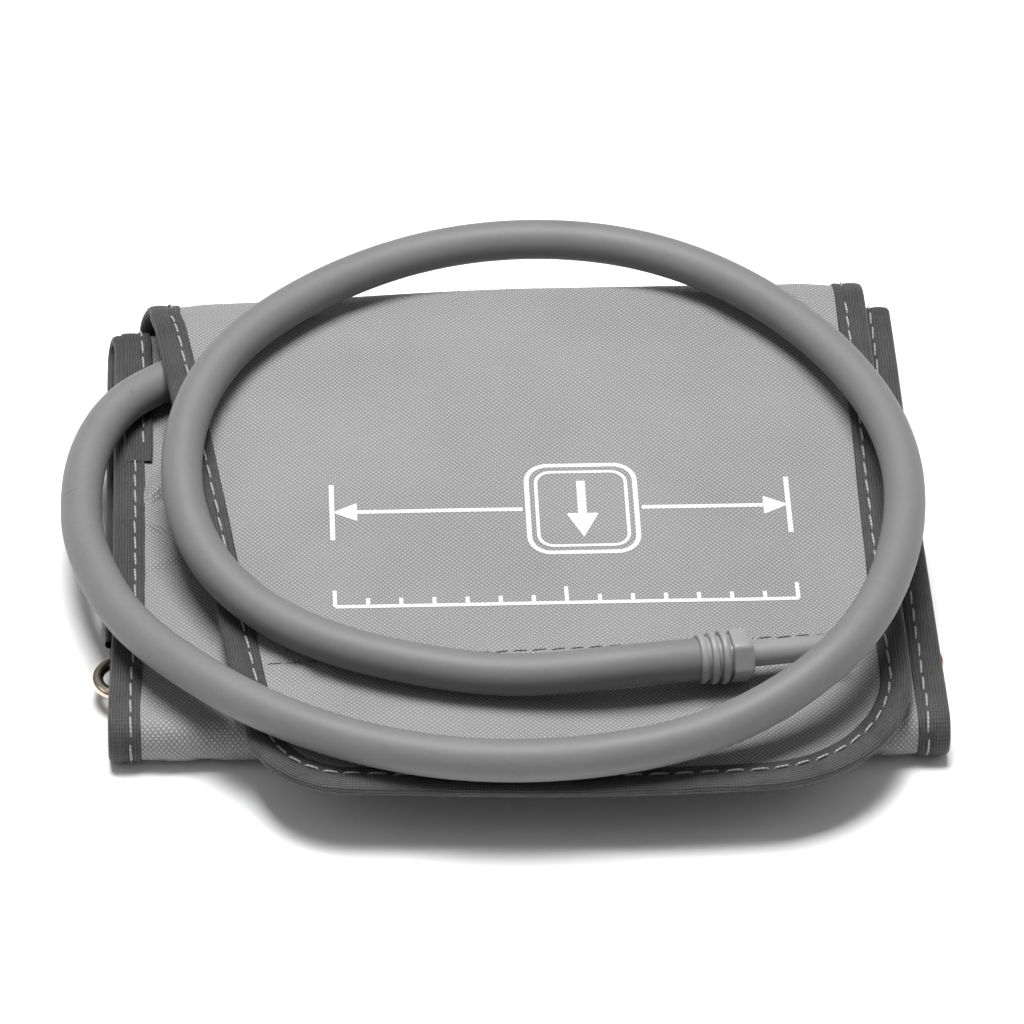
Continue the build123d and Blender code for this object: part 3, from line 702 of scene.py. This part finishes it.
def skew(verts):
    """The roll is not quite square: the front fold's right half stands further forward, and the
    inner fold's right corner is pushed up and back."""
    v = np.array(verts, float)
    x, y, z = v.T
    corner = smooth((x - 52.0) / 20.0) * smooth((y - 18.0) / 36.0) * smooth((z - 2.4) / 2.4)
    v[:, 1] -= FRONT_SKEW * smooth((x + 40.0) / 115.0) * smooth((10.0 - y) / 55.0)
    v[:, 1] += CORNER_BACK * corner
    v[:, 2] += CORNER_UP * corner
    return v


def calm(s):
    """1 along the roll, easing to 0 where the back fold meets the flap, so the two meet flush."""
    return 1 - smooth((np.asarray(s) - (S_FLAP - 9.0)) / 8.0)


def crumple(x, s):
    """Ridges across the open strip left of the flap: each rises gently and drops steeply forward."""
    out = np.zeros_like(x)
    for at, lean, height in ((46.5, -0.9, 2.3), (56.0, 0.5, 1.2), (66.0, -0.4, 0.9)):
        d = s - (S_MIDDLE + at) - lean * (x + 66.0)
        out += height * bell(d / np.where(d > 0, 1.2, 5.0))
    return out * bell((x + 65.0) / 4.5) * smooth((x + 69.2) / 1.6)


def roll_sheet(name, s0, s1, face, material, body, replaces=(), ds=1.0, dx=2.0, puff=None):
    """One face of the panel between two distances along it, as a curved sheet."""
    s = np.linspace(s0, s1, max(3, int((s1 - s0) / ds) + 1))
    u = np.linspace(0, 1, int(140 / dx) + 1)
    ss, uu = np.meshgrid(s, u, indexing="ij")
    y, z, h = profile(ss)
    left = side_x(-1, z, ss) + SHEET_INSET
    right = side_x(1, z, ss) - SHEET_INSET
    x = left + (right - left) * uu
    inset = np.minimum(x - left, right - x) + SHEET_INSET
    out = face_height(inset, face)
    out = out + face * 0.10 * wave(x, ss, 24.0, 2.0 * face) * smooth((inset - 6) / 8) * calm(ss)
    if face > 0:
        edge_strip = bell((inset - 12.0) / 7.0) * smooth((inset - 5.5) / 2.5)
        out = out + 0.34 * wave(x * 1.7, ss, 9.0, 6.0) * edge_strip * calm(ss)
        out = out + crumple(x, ss)
    out = out * calm(ss) + flap_face(inset, face) * (1 - calm(ss))
    if puff is not None:
        out = out + puff(x, ss)
    faces = grid_faces(len(s), len(u))
    if face < 0:
        faces = turned(faces)
    obj = make_mesh(name, offset(x, y, z, h, out), faces, pairs(x, ss))
    return dress(obj, material, body, replaces)


def front_puff():
    """Simulated swelling of the cover over the front fold and the uncovered edge strips."""
    s = np.linspace(S_MIDDLE + 4, S_BOTTOM + 8, 66)
    x = np.linspace(-69, 69, 70)
    ss, xx = np.meshgrid(s, x, indexing="ij")
    y, z, h = profile(ss)
    pts = offset(xx, y, z, h, FACE_OUT)
    pin = np.zeros_like(ss)
    pin[0], pin[-1], pin[:, 0], pin[:, -1] = 1, 1, 1, 1
    moved = settle(pts, grid_faces(*ss.shape), pin.ravel(), 0.03, 0.55)
    read = sampler(s, x, (moved * outward(h).reshape(-1, 3)).sum(1).reshape(ss.shape))

    def at(px, ps):
        inside = (ps > s[0]) & (ps < s[-1])
        return np.where(inside, np.minimum(read(ps, px), 0.02), 0.0)

    return at


PUFF = front_puff()
roll_sheet(
    "roll_cover", 0.0, S_BACK, 1, GREY_CLOTH, "base", ("outer_cover",),
    ds=0.7, dx=1.0, puff=PUFF,
)
roll_sheet("roll_lining", 0.0, S_BACK, -1, BLACK_CLOTH, "base", ("lining",), dx=4.0)
for name, face, mat, slot in (
    ("fold_cover", 1, GREY_CLOTH, "grey_cloth"),
    ("fold_lining", -1, BLACK_CLOTH, "black_cloth"),
):
    roll_sheet(name, S_BACK, S_FLAP, face, mat, None, ds=0.6)

# ------------------------------------------------------------------ edge tapes and stitches
# Section of the folded tape as (inset, out), from the front hem round the edge to the back hem.
# The dips at an inset of 4 mm are the seam's groove.
TAPE_PROFILE = [
    (5.72, 0.62), (5.8, 0.84), (5.55, 0.98), (5.0, 1.0), (4.5, 0.95), (4.0, 0.84), (3.5, 0.95),
    (2.9, 1.04), (2.1, 1.06), (1.3, 1.02), (0.65, 0.92), (0.25, 0.70), (0.04, 0.35), (0.0, 0.0),
    (0.04, -0.35), (0.25, -0.68), (0.65, -0.89), (1.3, -0.98), (2.1, -1.01), (2.9, -0.98),
    (3.5, -0.90), (4.0, -0.80), (4.5, -0.90), (5.0, -0.95), (5.55, -0.93), (5.8, -0.80), (5.72, -0.58),
]


def inward_from(points, normals, inward_hint):
    """The way in from an edge, across the cloth."""
    inward = np.cross(tangents(points), normals)
    flip = np.sign((inward * inward_hint).sum(1))
    return inward * flip[:, None] / np.linalg.norm(inward, axis=1)[:, None]


def tape_mesh(name, points, normals, hint, start, key):
    """Tape folded round an edge; points run along the edge's middle line."""
    run = start + distances(points)
    inward = inward_from(points, normals, hint)
    prof = np.array(TAPE_PROFILE)
    i = np.repeat(prof[None, :, 0], len(points), 0)
    o = np.repeat(prof[None, :, 1], len(points), 0)
    wob = np.array([noise((r / 9.0, key, 0.3)) for r in run])
    wob2 = np.array([noise((r / 4.5, key, 7.3)) for r in run])
    pull = 0.5 + 0.5 * np.cos(2 * math.pi * run / 4.5)
    i = i * (1 + 0.025 * wob[:, None])
    groove = bell((i - STITCH_INSET) / 0.9)
    o = o * (1 + (0.05 * wob2)[:, None] * smooth(i / 3))
    o = o - np.sign(o) * 0.08 * groove * pull[:, None]
    verts = points[:, None, :] + inward[:, None, :] * i[..., None] + normals[:, None, :] * o[..., None]
    uv = np.stack([np.tile(distances(prof), len(points)), np.repeat(run, len(prof))], 1)
    obj = make_mesh(name, verts.reshape(-1, 3), grid_faces(len(points), len(prof)), uv)
    middle = obj.data.polygons[len(TAPE_PROFILE) * (len(points) // 2) + 8]
    nearest = np.argmin(np.linalg.norm(points - np.array(middle.center) / MM, axis=1))
    if np.array(middle.normal) @ normals[nearest] < 0:
        obj.data.flip_normals()
    return obj


def stitches(
    path, normals, inset_dir, inset, lift, length=3.35, gap=1.15, r=0.24, phase=0.0, sag=0.32
):
    """Separate stitches along an edge: each thread rises from one hole and dives into the next."""
    run = distances(path)
    parts, at = [], phase
    while at + length < run[-1]:
        jitter = rng.uniform(-0.1, 0.1, 3)
        d = np.linspace(at + jitter[0], at + length + jitter[1], 9)
        p, n, w = (points_at(d, run, line) for line in (path, normals, inset_dir))
        t = np.linspace(-1, 1, 9)
        rise = lift - sag * np.abs(t) ** 5
        slew = inset + jitter[2] * 0.8 + 0.09 * t
        pts = p + n * rise[:, None] + w * slew[:, None]
        rad = r * (1 - 0.35 * np.abs(t) ** 4)
        parts.append(tube_data(pts, rad, 6))
        at += length + gap
    return parts


def roll_edge_path(side, s0, s1, step=0.7):
    """Points, outward normals and an inward hint along one side edge of the panel."""
    s = np.linspace(s0, s1, int((s1 - s0) / step) + 2)
    x, y, z, h = section(side, 0.0, s)
    hint = np.stack([np.full_like(h, -side), 0 * h, 0 * h], 1)
    return np.stack([x, y, z], 1), outward(h), hint


def thread_piece(name, parts, material, body, replaces=()):
    obj = make_mesh(name, *join_data(parts))
    return dress(obj, material, body, replaces)


def taped_edge(tape_name, seam_name, path, start, key, phases, body, replaces=((), ())):
    """Tape round an edge and its seam, which shows on both faces. Returns both pieces."""
    points, normals, hint = path
    tape = tape_mesh(tape_name, points, normals, hint, start, key)
    dress(tape, TAPE, body, replaces[0])
    inward = inward_from(points, normals, hint)
    rows = stitches(points, normals, inward, STITCH_INSET, SEAM_LIFT_OUT, phase=phases[0])
    rows += stitches(points, -normals, inward, STITCH_INSET, SEAM_LIFT_IN, phase=phases[1])
    return tape, thread_piece(seam_name, rows, LIGHT_THREAD, body, replaces[1])


def bend(obj):
    """Bake a piece's placement into its mesh, so it stays where it was built."""
    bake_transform(obj)


for side, word in ((-1, "left"), (1, "right")):
    roll_path = roll_edge_path(side, 0.0, S_BACK)
    nodes = (("binding_" + word,), ("binding_thread_" + word,))
    taped_edge(
        "roll_tape_" + word, "roll_stitches_" + word, roll_path, 0.0, side, (0.0, 2.2), "base", nodes
    )
    fold_path = roll_edge_path(side, S_BACK, S_FLAP, 0.45)
    fold_names = ("fold_tape_" + word, "fold_stitches_" + word)
    for piece in taped_edge(*fold_names, fold_path, S_BACK, side, (1.0, 2.2), None):
        bend(piece)
for name in ("fold_cover", "fold_lining"):
    bend(bpy.data.objects[name])


def lapped_tape_end():
    """Second length of tape lapped over the first, with its raw end and its row of stitches."""
    s = np.linspace(S_MIDDLE - 9.0, S_MIDDLE + 37.0, 90)
    u = np.array([1.8, 1.9, 2.2, 3.0, 4.2, 5.0, 5.4, 5.9, 6.8, 7.2, 7.3])
    rise = np.array([1.0, 1.3, 1.44, 1.48, 1.48, 1.42, 1.32, 1.42, 1.44, 1.3, 0.9])
    ss, uu = np.meshgrid(s, u, indexing="ij")
    x, y, z, h = section(-1, uu, ss)
    wob = 1 + 0.06 * wave(ss, uu, 5.0, 3.0)
    end = 1 - 0.25 * smooth((ss - s[-1] + 1.6) / 1.6)
    out = rise[None, :] * wob * end
    x = x + 0.25 * wave(ss, 0 * ss, 11.0, 8.0)
    faces = turned(grid_faces(*ss.shape))
    obj = make_mesh("lapped_tape_end", offset(x, y, z, h, out), faces, pairs(uu, ss))
    dress(obj, TAPE, "base", ("binding_tape_end",))
    pts, nrm, hint = roll_edge_path(-1, S_MIDDLE - 8.0, S_MIDDLE + 36.0)
    inward = inward_from(pts, nrm, hint)
    rows = stitches(pts, nrm, inward, LAPPED_STITCH_INSET, 1.50, phase=0.6)
    thread_piece("lapped_tape_stitches", rows, LIGHT_THREAD, "base")


lapped_tape_end()

# ------------------------------------------------------------------ flap
SEAM_A, SEAM_B = np.array([-50.0, -42.5]), np.array([66.0, -36.6])
SEAM_LENGTH = np.linalg.norm(SEAM_B - SEAM_A)
SEAM_WAY = (SEAM_B - SEAM_A) / SEAM_LENGTH


def seam_distance(x, y):
    """Distance off the hook patch's seam, and along it."""
    dx, dy = x - SEAM_A[0], y - SEAM_A[1]
    return -dx * SEAM_WAY[1] + dy * SEAM_WAY[0], dx * SEAM_WAY[0] + dy * SEAM_WAY[1]


def flap_field():
    """Simulated buckling of the flap's cloth between its tapes and the seam, as read(y, x)."""
    x = np.linspace(-68, 70, 72)
    y = np.linspace(BACK_Y, -80, 74)
    yy, xx = np.meshgrid(y, x, indexing="ij")
    z, h, _ = on_flap(yy)
    inset = edge_distance(xx, yy)
    off, _ = seam_distance(xx, yy)
    pin = (inset < 5.5) | (np.abs(off) < 1.2) | (yy > 51)
    pts = np.stack([xx, yy, z + 1.0], -1).reshape(-1, 3)
    pts[:, 2] += 0.06 * wave(xx, yy, 17.0).ravel()
    moved = settle(pts, grid_faces(*xx.shape), pin.ravel().astype(float), 0.02, 0.55)
    return sampler(y, x, moved[:, 2].reshape(xx.shape) * smooth((inset - 6) / 6))


FIELD = flap_field()


def flap_height(x, y, inset, face):
    """Cloth face away from the flap's middle line: buckles, the seam's groove and its puckers."""
    out = flap_face(inset, face)
    back = smooth((BACK_Y - y) / 8.0)
    if face > 0:
        out = out + FIELD(y, x) * back
        out = out + 0.20 * wave(x, y, 26.0, 1.0) * smooth((inset - 6) / 12) * back
        off, along = seam_distance(x, y)
        on = smooth((inset - 6) / 3)
        out = out - 0.42 * bell(off / 1.1) * on
        pucker = np.cos(2 * math.pi * along / 5.2 + 2.0 * wave(along, 0 * along, 9.0, 4.0))
        beside = np.exp(-np.abs(off) / 4.0) * (1 - bell(off / 0.8))
        out = out + 0.13 * pucker * beside * on
        rim = 0.07 * np.cos(2 * math.pi * (x + y) / 6.3) * bell((inset - 8.0) / 3.0)
        out = out + rim * smooth((inset - 5.5) / 2) * back
    return out


def flap_sheet(name, face, material, replaces, step):
    """One face of the flap, cut to its outline under the tape."""
    x = np.arange(-68.0, 70.01, step)
    y = np.arange(BACK_Y, -79.01, -step)
    yy, xx = np.meshgrid(y, x, indexing="ij")
    z, h, s = on_flap(yy)
    inset = edge_distance(xx, yy)
    verts = offset(xx, yy, z, h, flap_height(xx, yy, inset, face))
    good = (inset > SHEET_INSET - 0.1).ravel()
    faces = [f for f in grid_faces(*xx.shape) if all(good[i] for i in f)]
    if face > 0:
        faces = turned(faces)
    used = np.zeros(len(verts), bool)
    used[np.array(faces).ravel()] = True
    at = np.cumsum(used) - 1
    faces = at[np.array(faces)].tolist()
    obj = make_mesh(name, verts[used], faces, pairs(xx, s)[used])
    normal = np.array([p.normal[2] for p in obj.data.polygons]).mean()
    if normal * face < 0:
        obj.data.flip_normals()
    return dress(obj, material, "flap", replaces)


cover = flap_sheet("flap_cloth", 1, GREY_CLOTH, ("flap_cover", "flap_interlining"), 0.8)
flap_sheet("flap_inner_cloth", -1, BLACK_CLOTH, ("flap_lining",), 2.0)

edge_z, edge_h, _ = on_flap(OUTLINE[:, 1])
edge_pts = np.stack([OUTLINE[:, 0], OUTLINE[:, 1], edge_z], 1)
edge_hint = np.array([6.0, -5.0, 0.0]) - edge_pts * [1, 1, 0]
edge_wave = np.array([noise((a / 26.0, b / 26.0, 5.0)) for a, b in OUTLINE]) * 0.35
edge_wave *= smooth((40.0 - OUTLINE[:, 1]) / 30.0)
edge_pts[:, 2] += edge_wave * 0.5
edge_path = (edge_pts, outward(edge_h), edge_hint)
nodes = (("flap_binding",), ("flap_binding_thread",))
taped_edge("flap_tape", "flap_stitches", edge_path, S_FLAP, 4.0, (1.5, 3.0), "flap", nodes)

tree = BVHTree.FromPolygons(
    [v.co.copy() for v in cover.data.vertices], [tuple(p.vertices) for p in cover.data.polygons]
)


def on_cover(x, y, lift):
    """Points on the flap's cloth, lifted a little, in mm."""
    out = []
    for a, b in zip(x, y):
        hit = tree.ray_cast(Vector((a * MM, b * MM, 0.06)), Vector((0, 0, -1)))[0]
        z = hit.z / MM if hit else 14.0
        out.append((a, b, z + lift))
    return np.array(out)


def hook_seam():
    """Row of stitches across the flap that holds the hook patch."""
    t = np.arange(1.0, SEAM_LENGTH - 1.0, 0.6)
    x, y = SEAM_A[0] + SEAM_WAY[0] * t, SEAM_A[1] + SEAM_WAY[1] * t
    keep = edge_distance(x, y) > 6.2
    pts = on_cover(x[keep], y[keep], 0.0)
    up = np.tile([0.0, 0.0, 1.0], (len(pts), 1))
    across = np.tile([-SEAM_WAY[1], SEAM_WAY[0], 0.0], (len(pts), 1))
    rows = stitches(pts, up, across, 0.0, 0.10, length=2.7, gap=0.7, r=0.13, sag=0.2)
    node = ("hook_patch_thread",)
    thread_piece("hook_seam_stitches", rows, DARK_THREAD, "flap", node)


hook_seam()


# ------------------------------------------------------------------ printed marks
def ink(points, faces):
    """Ink laid on the flap's cloth at plan points: verts, faces and uv."""
    _, _, s = on_flap(points[:, 1])
    verts = on_cover(points[:, 0], points[:, 1], INK_LIFT)
    return verts, faces, pairs(points[:, 0], s)


def ribbon(points, width, closed=False):
    """Flat strip of ink along a drawn line on the flap."""
    p = np.array(points, float)
    if closed:
        p = np.vstack([p, p[:1]])
    run = distances(p)
    line = points_at(np.linspace(0, run[-1], max(3, int(run[-1] / 0.5))), run, p)
    t = tangents(line)
    n = np.stack([-t[:, 1], t[:, 0]], 1)
    w = np.broadcast_to(np.asarray(width, float), (len(line),)) / 2
    cols = [-1.0, -0.33, 0.33, 1.0]
    pts = np.stack([line + n * (w * c)[:, None] for c in cols], 1).reshape(-1, 2)
    return ink(pts, turned(grid_faces(len(line), len(cols))))


def solid_ink(corners):
    """Filled convex patch of ink."""
    c = np.array(corners, float)
    mid = c.mean(0)
    rings, n = 5, 12 * len(c)
    loop = np.vstack([c, c[:1]])
    run = distances(loop)
    edge = points_at(np.linspace(0, run[-1], n, endpoint=False), run, loop)
    pts = np.vstack([mid + (edge - mid) * (1 - k / (rings - 0.9)) for k in range(rings)])
    faces = grid_faces(rings, n, wrap_cols=True)
    faces.append([(rings - 1) * n + i for i in range(n)])
    return ink(pts, faces)


def rounded_box(cx, cy, width, height, radius):
    """Closed outline of a box with round corners."""
    out = []
    for k, (sx, sy) in enumerate(((1, 1), (-1, 1), (-1, -1), (1, -1))):
        mx, my = cx + sx * (width / 2 - radius), cy + sy * (height / 2 - radius)
        for t in np.radians(np.linspace(90 * k, 90 * k + 90, 10)):
            out.append((mx + radius * math.cos(t), my + radius * math.sin(t)))
    return out


def arrow_head(tip, heading, size):
    """Filled triangle as wide as it is long, pointing along a heading in degrees."""
    a = math.radians(heading)
    back = np.array(tip) - size * np.array([math.cos(a), math.sin(a)])
    side = np.array([-math.sin(a), math.cos(a)]) * size * 0.5
    return solid_ink([tip, back + side, back - side])


def printed_marks():
    """Plain marks: a range arrow between end bars, an index arrow in a frame, and a tick scale.
    Shafts end where their heads begin, since two coplanar inks would flicker."""
    line, head = 0.9, 4.6
    left, right, range_y, scale_y, index_x = -34.0, 50.0, -3.0, -27.0, 12.0
    parts = [
        ribbon([(left + head, range_y), (index_x - 11.0, range_y)], line),
        ribbon([(index_x + 11.0, range_y), (right - head, range_y)], line),
    ]
    for x, heading in ((left, 180.0), (right, 0.0)):
        parts.append(arrow_head((x, range_y), heading, head))
        parts.append(ribbon([(x, range_y - 7.0), (x, range_y + 7.0)], line))
    for width, height, radius, ink_width in ((20.0, 22.0, 4.0, line), (16.6, 18.6, 2.8, line * 0.7)):
        box = rounded_box(index_x, range_y, width, height, radius)
        parts.append(ribbon(box, ink_width, closed=True))
    parts.append(ribbon([(index_x, 4.0), (index_x, -4.2)], 1.6))
    parts.append(arrow_head((index_x, -10.2), -90.0, 6.0))
    parts.append(ribbon([(left, scale_y), (right, scale_y)], line))
    for k in range(15):
        x, tick = left + 6.0 * k, 4.4 if k % 7 == 0 else 2.2
        parts.append(ribbon([(x, scale_y), (x, scale_y + tick)], line * 0.8))
    obj = make_mesh("flap_marks", *join_data(parts))
    rework(
        obj,
        lambda mesh: bmesh.ops.reverse_faces(mesh, faces=[f for f in mesh.faces if f.normal.z < 0]),
    )
    dress(obj, INK, "flap")


printed_marks()

# ------------------------------------------------------------------ hose, plug and ring
COIL_CENTRE = (-5.0, -4.0)


def polar(angle, radius, z):
    """Point round the middle of the coil."""
    a = math.radians(angle)
    return (COIL_CENTRE[0] + radius * math.cos(a), COIL_CENTRE[1] + radius * math.sin(a), z)


PLUG_AT = np.array([29.6, -50.0, 19.35])
turn, dip = math.radians(8.7), math.radians(2.0)
PLUG_WAY = np.array(
    [math.cos(turn) * math.cos(dip), math.sin(turn) * math.cos(dip), -math.sin(dip)]
)
lead_way = np.array([math.cos(math.radians(188)), math.sin(math.radians(188)), 0])
elbow = np.array([-42.0, 47.5, 13.85])
lead = spline(
    [elbow + lead_way * 5.1, elbow + lead_way * 10.0, (-62.7, 40.1, 13.9), (-71.2, 32.7, 14.3),
     (-77.0, 22.0, 14.5), (-79.85, 7.0, 14.5), (-80.0, 2.0, 14.5)]
)
coil = spline(
    [
        (-80.0, 2.0, 14.5), (-79.85, -3.0, 14.5),
        polar(190.0, 73.4, 14.9), polar(204.0, 71.9, 16.0), polar(218.0, 70.4, 17.4),
        polar(234.0, 69.7, 18.0), polar(260.0, 69.8, 18.0), polar(284.0, 71.6, 18.3),
        polar(301.0, 76.0, 21.2), polar(318.0, 79.0, 25.9), polar(338.0, 76.8, 26.2),
        polar(366.0, 74.9, 25.2), polar(395.0, 73.6, 25.0), polar(425.0, 73.4, 25.0),
        polar(454.0, 68.6, 25.0), polar(484.0, 62.7, 24.6), polar(500.0, 60.8, 24.3),
        polar(516.0, 58.9, 23.2), polar(534.0, 56.7, 21.4), polar(556.0, 54.0, 19.0),
        polar(584.0, 49.6, 18.0), polar(612.0, 46.7, 18.0), polar(634.0, 48.0, 18.2),
        PLUG_AT - PLUG_WAY * 14.0, PLUG_AT,
    ]
)


def cut_end(points, at, step, radius, sides):
    """Cut face of the hose with its bore running a little way in."""
    t, a, b = frames_along(points)
    w, depth = around(sides), 7.0
    ring = np.cos(w)[:, None] * a[at] + np.sin(w)[:, None] * b[at]
    rows = [points[at] + ring * radius, points[at] + ring * (radius * 0.6 + HOSE_BORE_R * 0.4)]
    rows += [points[at] + ring * HOSE_BORE_R, points[at] + t[at] * step * depth + ring * HOSE_BORE_R]
    faces = grid_faces(4, sides, wrap_cols=True)
    faces.append([3 * sides + k for k in range(sides)])
    if step < 0:
        faces = turned(faces)
    uv = np.stack([np.tile(w * radius, 4), np.repeat([0, 1, 2, 2 + depth], sides)], 1)
    return np.vstack(rows), faces, uv


def hose_piece(name, points, body, replaces):
    """One run of hose with both its cut ends."""
    run = distances(points)
    ends = np.exp(-run / 6.0) + np.exp(-(run[-1] - run) / 6.0)
    wobble = np.array([noise((a / 14.0, 2.0, 1.0)) for a in run])
    r = HOSE_R + 0.03 * wobble * (1 - np.minimum(ends, 1.0))
    sides = 48
    parts = [tube_data(points, r, sides)]
    parts += [cut_end(points, at, step, r[at], sides) for at, step in ((0, 1), (-1, -1))]
    obj = make_mesh(name, *join_data(parts))
    return dress(obj, HOSE, body, replaces)


lead_obj = hose_piece("hose_lead", lead, None, ("hose_root", "hose_bend"))
bend(lead_obj)
hose_piece("hose_coil_skin", coil, "coil", ("hose_coil",))


def plug_shape():
    """Plug body lofted along its axis: lip, two rounded ribs, six-sided collar, nozzle."""
    sides = 72
    w = around(sides)
    hexa = math.cos(math.pi / 6) / np.cos((w % (math.pi / 3)) - math.pi / 6)
    # stations: (distance from the plug's root, radius, how six-sided it is)
    stations = [(0.12, 3.7, 0), (0.2, 4.25, 0), (0.4, 4.43, 0)]
    stations += [(1.15, 4.45, 0), (1.36, 4.3, 0), (1.44, 3.95, 0)]
    waist, rib = 3.9, 1.3
    for start, r in ((2.1, 4.75), (4.05, 4.9)):
        for t in np.linspace(0, math.pi, 11):
            bulge = math.sin(t) ** 0.35 if 0 < t < math.pi else 0.0
            stations.append((start + rib * (1 - math.cos(t)) / 2, waist + (r - waist) * bulge, 0))
        stations.append((start + rib + 0.2, waist - 0.02, 0))
    stations += [(6.0, 4.1, 1), (6.05, 4.75, 1), (6.25, 4.95, 1), (6.6, 5.0, 1), (8.8, 5.0, 1)]
    stations += [(9.1, 4.9, 1), (9.55, 4.45, 0.8), (9.75, 4.2, 0.5), (9.8, 3.2, 0), (9.8, 2.6, 0)]
    stations += [(10.0, 2.36, 0), (10.3, 2.3, 0), (26.0, 2.27, 0), (26.35, 2.15, 0)]
    stations += [(26.5, 1.85, 0), (26.5, 1.15, 0), (22.0, 1.1, 0)]
    a = np.cross(PLUG_WAY, [0, 0, 1.0])
    a /= np.linalg.norm(a)
    b = np.cross(a, PLUG_WAY)
    ring = np.cos(w)[:, None] * a + np.sin(w)[:, None] * b
    rows = []
    for z, r, hexness in stations:
        rr = r * (1 + hexness * (hexa - 1))
        if hexness:
            rr = np.minimum(rr, r * 0.975)
        rows.append(PLUG_AT + PLUG_WAY * z + rr[:, None] * ring)
    n = len(stations)
    faces = grid_faces(n, sides, wrap_cols=True)
    faces.append(list(range(sides))[::-1])
    faces.append([(n - 1) * sides + k for k in range(sides)])
    uv = np.stack([np.tile(w * 4, n), np.repeat([s[0] for s in stations], sides)], 1)
    obj = make_mesh("air_plug_body", np.vstack(rows), faces, uv)
    face_outward(obj)
    obj.data.set_sharp_from_angle(angle=math.radians(38))
    dress(obj, PLUG, "plug", ("air_plug",))


plug_shape()


def ring_shape():
    """Closed wire loop with its butt-welded joint slightly thickened."""
    r, bend_r, half, mid_x, mid_y = 1.1, 4.75, 71.35, -1.0, -35.25
    pts = []
    for way in (1, -1):
        for t in np.linspace(0, 1, 60, endpoint=False):
            pts.append((mid_x + way * half * (2 * t - 1), mid_y - way * bend_r))
        for a in np.radians(np.linspace(-90, 90, 30, endpoint=False)):
            along, across = half + bend_r * math.cos(a), bend_r * math.sin(a)
            pts.append((mid_x + way * along, mid_y + way * across))
    p = np.array([(x, y, INNER_Z) for x, y in pts])
    nxt, prv = np.roll(p, -1, 0), np.roll(p, 1, 0)
    t = (nxt - prv) / np.linalg.norm(nxt - prv, axis=1)[:, None]
    side = np.cross(t, [0, 0, 1.0])
    w = around(24)
    weld = 1 + 0.05 * bell((np.arange(len(p)) - 90) / 1.2)
    ring = np.cos(w)[:, None] * side[:, None, :] + np.sin(w)[:, None] * np.array([0, 0, 1.0])
    verts = (p[:, None, :] + r * weld[:, None, None] * ring).reshape(-1, 3)
    run = np.arange(len(p)) * 1.5
    uv = np.stack([np.tile(w * r, len(p)), np.repeat(run, len(w))], 1)
    obj = make_mesh("cinch_ring_wire", verts, grid_faces(len(p), len(w), True, True), uv)
    face_outward(obj)
    dress(obj, WIRE, "ring", ("cinch_ring",))


ring_shape()

# ------------------------------------------------------------------ carried-over CAD nodes
for name, material in {
    "bladder_upper_sheet": FILM,
    "bladder_lower_sheet": FILM,
    "bladder_port": PORT,
    "port_grommet": PORT,
    "bladder_pocket_seam": film("pocket_seam_thread", 0.25, 0.45),
    "ring_sleeve": film("ring_sleeve_cloth", 0.008, 0.03),
    "ring_sleeve_stitching": film("ring_sleeve_thread", 0.25, 0.45),
    "loop_patch": LOOPS,
    "loop_patch_thread": film("loop_patch_thread_grey", 0.15, 0.35),
    "hook_patch": HOOKS,
}.items():
    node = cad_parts[name]
    node.data.materials.clear()
    node.data.materials.append(material)

# ------------------------------------------------------------------ stage, light, camera
floor_mat = Graph("floor_pale", 0.9, specular=0.1)
tint = floor_mat.ramp(floor_mat.noise(2.0, 2), [(0.3, 0.93), (0.7, 0.95)])
floor_mat.finish(tint)
bpy.ops.mesh.primitive_plane_add(size=6.0, location=(0, 0, -0.00005))
floor = bpy.context.object
floor.name = "floor"
floor.data.materials.append(floor_mat.mat)

world = bpy.data.worlds.new("studio")
bpy.context.scene.world = world
world.use_nodes = True
nodes, links = world.node_tree.nodes, world.node_tree.links
sky = nodes["Background"]
way = nodes.new("ShaderNodeTexCoord")
split = nodes.new("ShaderNodeSeparateXYZ")
fade = nodes.new("ShaderNodeMapRange")
for outlet, inlet in (
    (way.outputs["Generated"], split.inputs[0]),
    (split.outputs[2], fade.inputs["Value"]),
    (fade.outputs[0], sky.inputs[1]),
):
    links.new(outlet, inlet)
for socket, value in (("From Min", -0.1), ("From Max", 0.9), ("To Min", 0.03), ("To Max", 0.34)):
    fade.inputs[socket].default_value = value
sky.inputs[0].default_value = (1, 1, 1, 1)


def area_light(name, at, size, watts):
    """Square light that looks at the origin."""
    data = bpy.data.lights.new(name, "AREA")
    data.energy = watts
    data.size = size
    obj = add_object(name, data)
    obj.location = at
    obj.rotation_euler = (-Vector(at)).to_track_quat("-Z", "Y").to_euler()


area_light("key", (-0.06, 0.15, 1.13), 0.55, 21.0)
area_light("fill_left", (-0.9, -0.1, 0.6), 0.5, 0.7)
area_light("fill_right", (0.9, 0.0, 0.6), 0.5, 0.7)

azimuth, elevation, roll = math.radians(-3.408), math.radians(40.0), math.radians(1.10)
target, distance, level = Vector((0, 0, 0.008)), 1.09408, math.cos(elevation)
back = Vector((math.sin(azimuth) * level, -math.cos(azimuth) * level, math.sin(elevation)))
cam_data = bpy.data.cameras.new("camera")
cam_data.lens, cam_data.sensor_width = 207.95, 36.0
cam_data.shift_x, cam_data.shift_y = -0.0036, 0.0179
cam_data.clip_start, cam_data.clip_end = 0.05, 20.0
cam = add_object("camera", cam_data)
cam.location = target + back * distance
right = Vector((0, 0, 1)).cross(back).normalized()
up = back.cross(right)
rolled_right = right * math.cos(roll) + up * math.sin(roll)
rolled_up = up * math.cos(roll) - right * math.sin(roll)
turned_to = Matrix((rolled_right, rolled_up, back)).transposed().to_4x4()
cam.matrix_world = Matrix.Translation(cam.location) @ turned_to
bpy.context.scene.camera = cam
bpy.context.scene.view_settings.view_transform = "Standard"
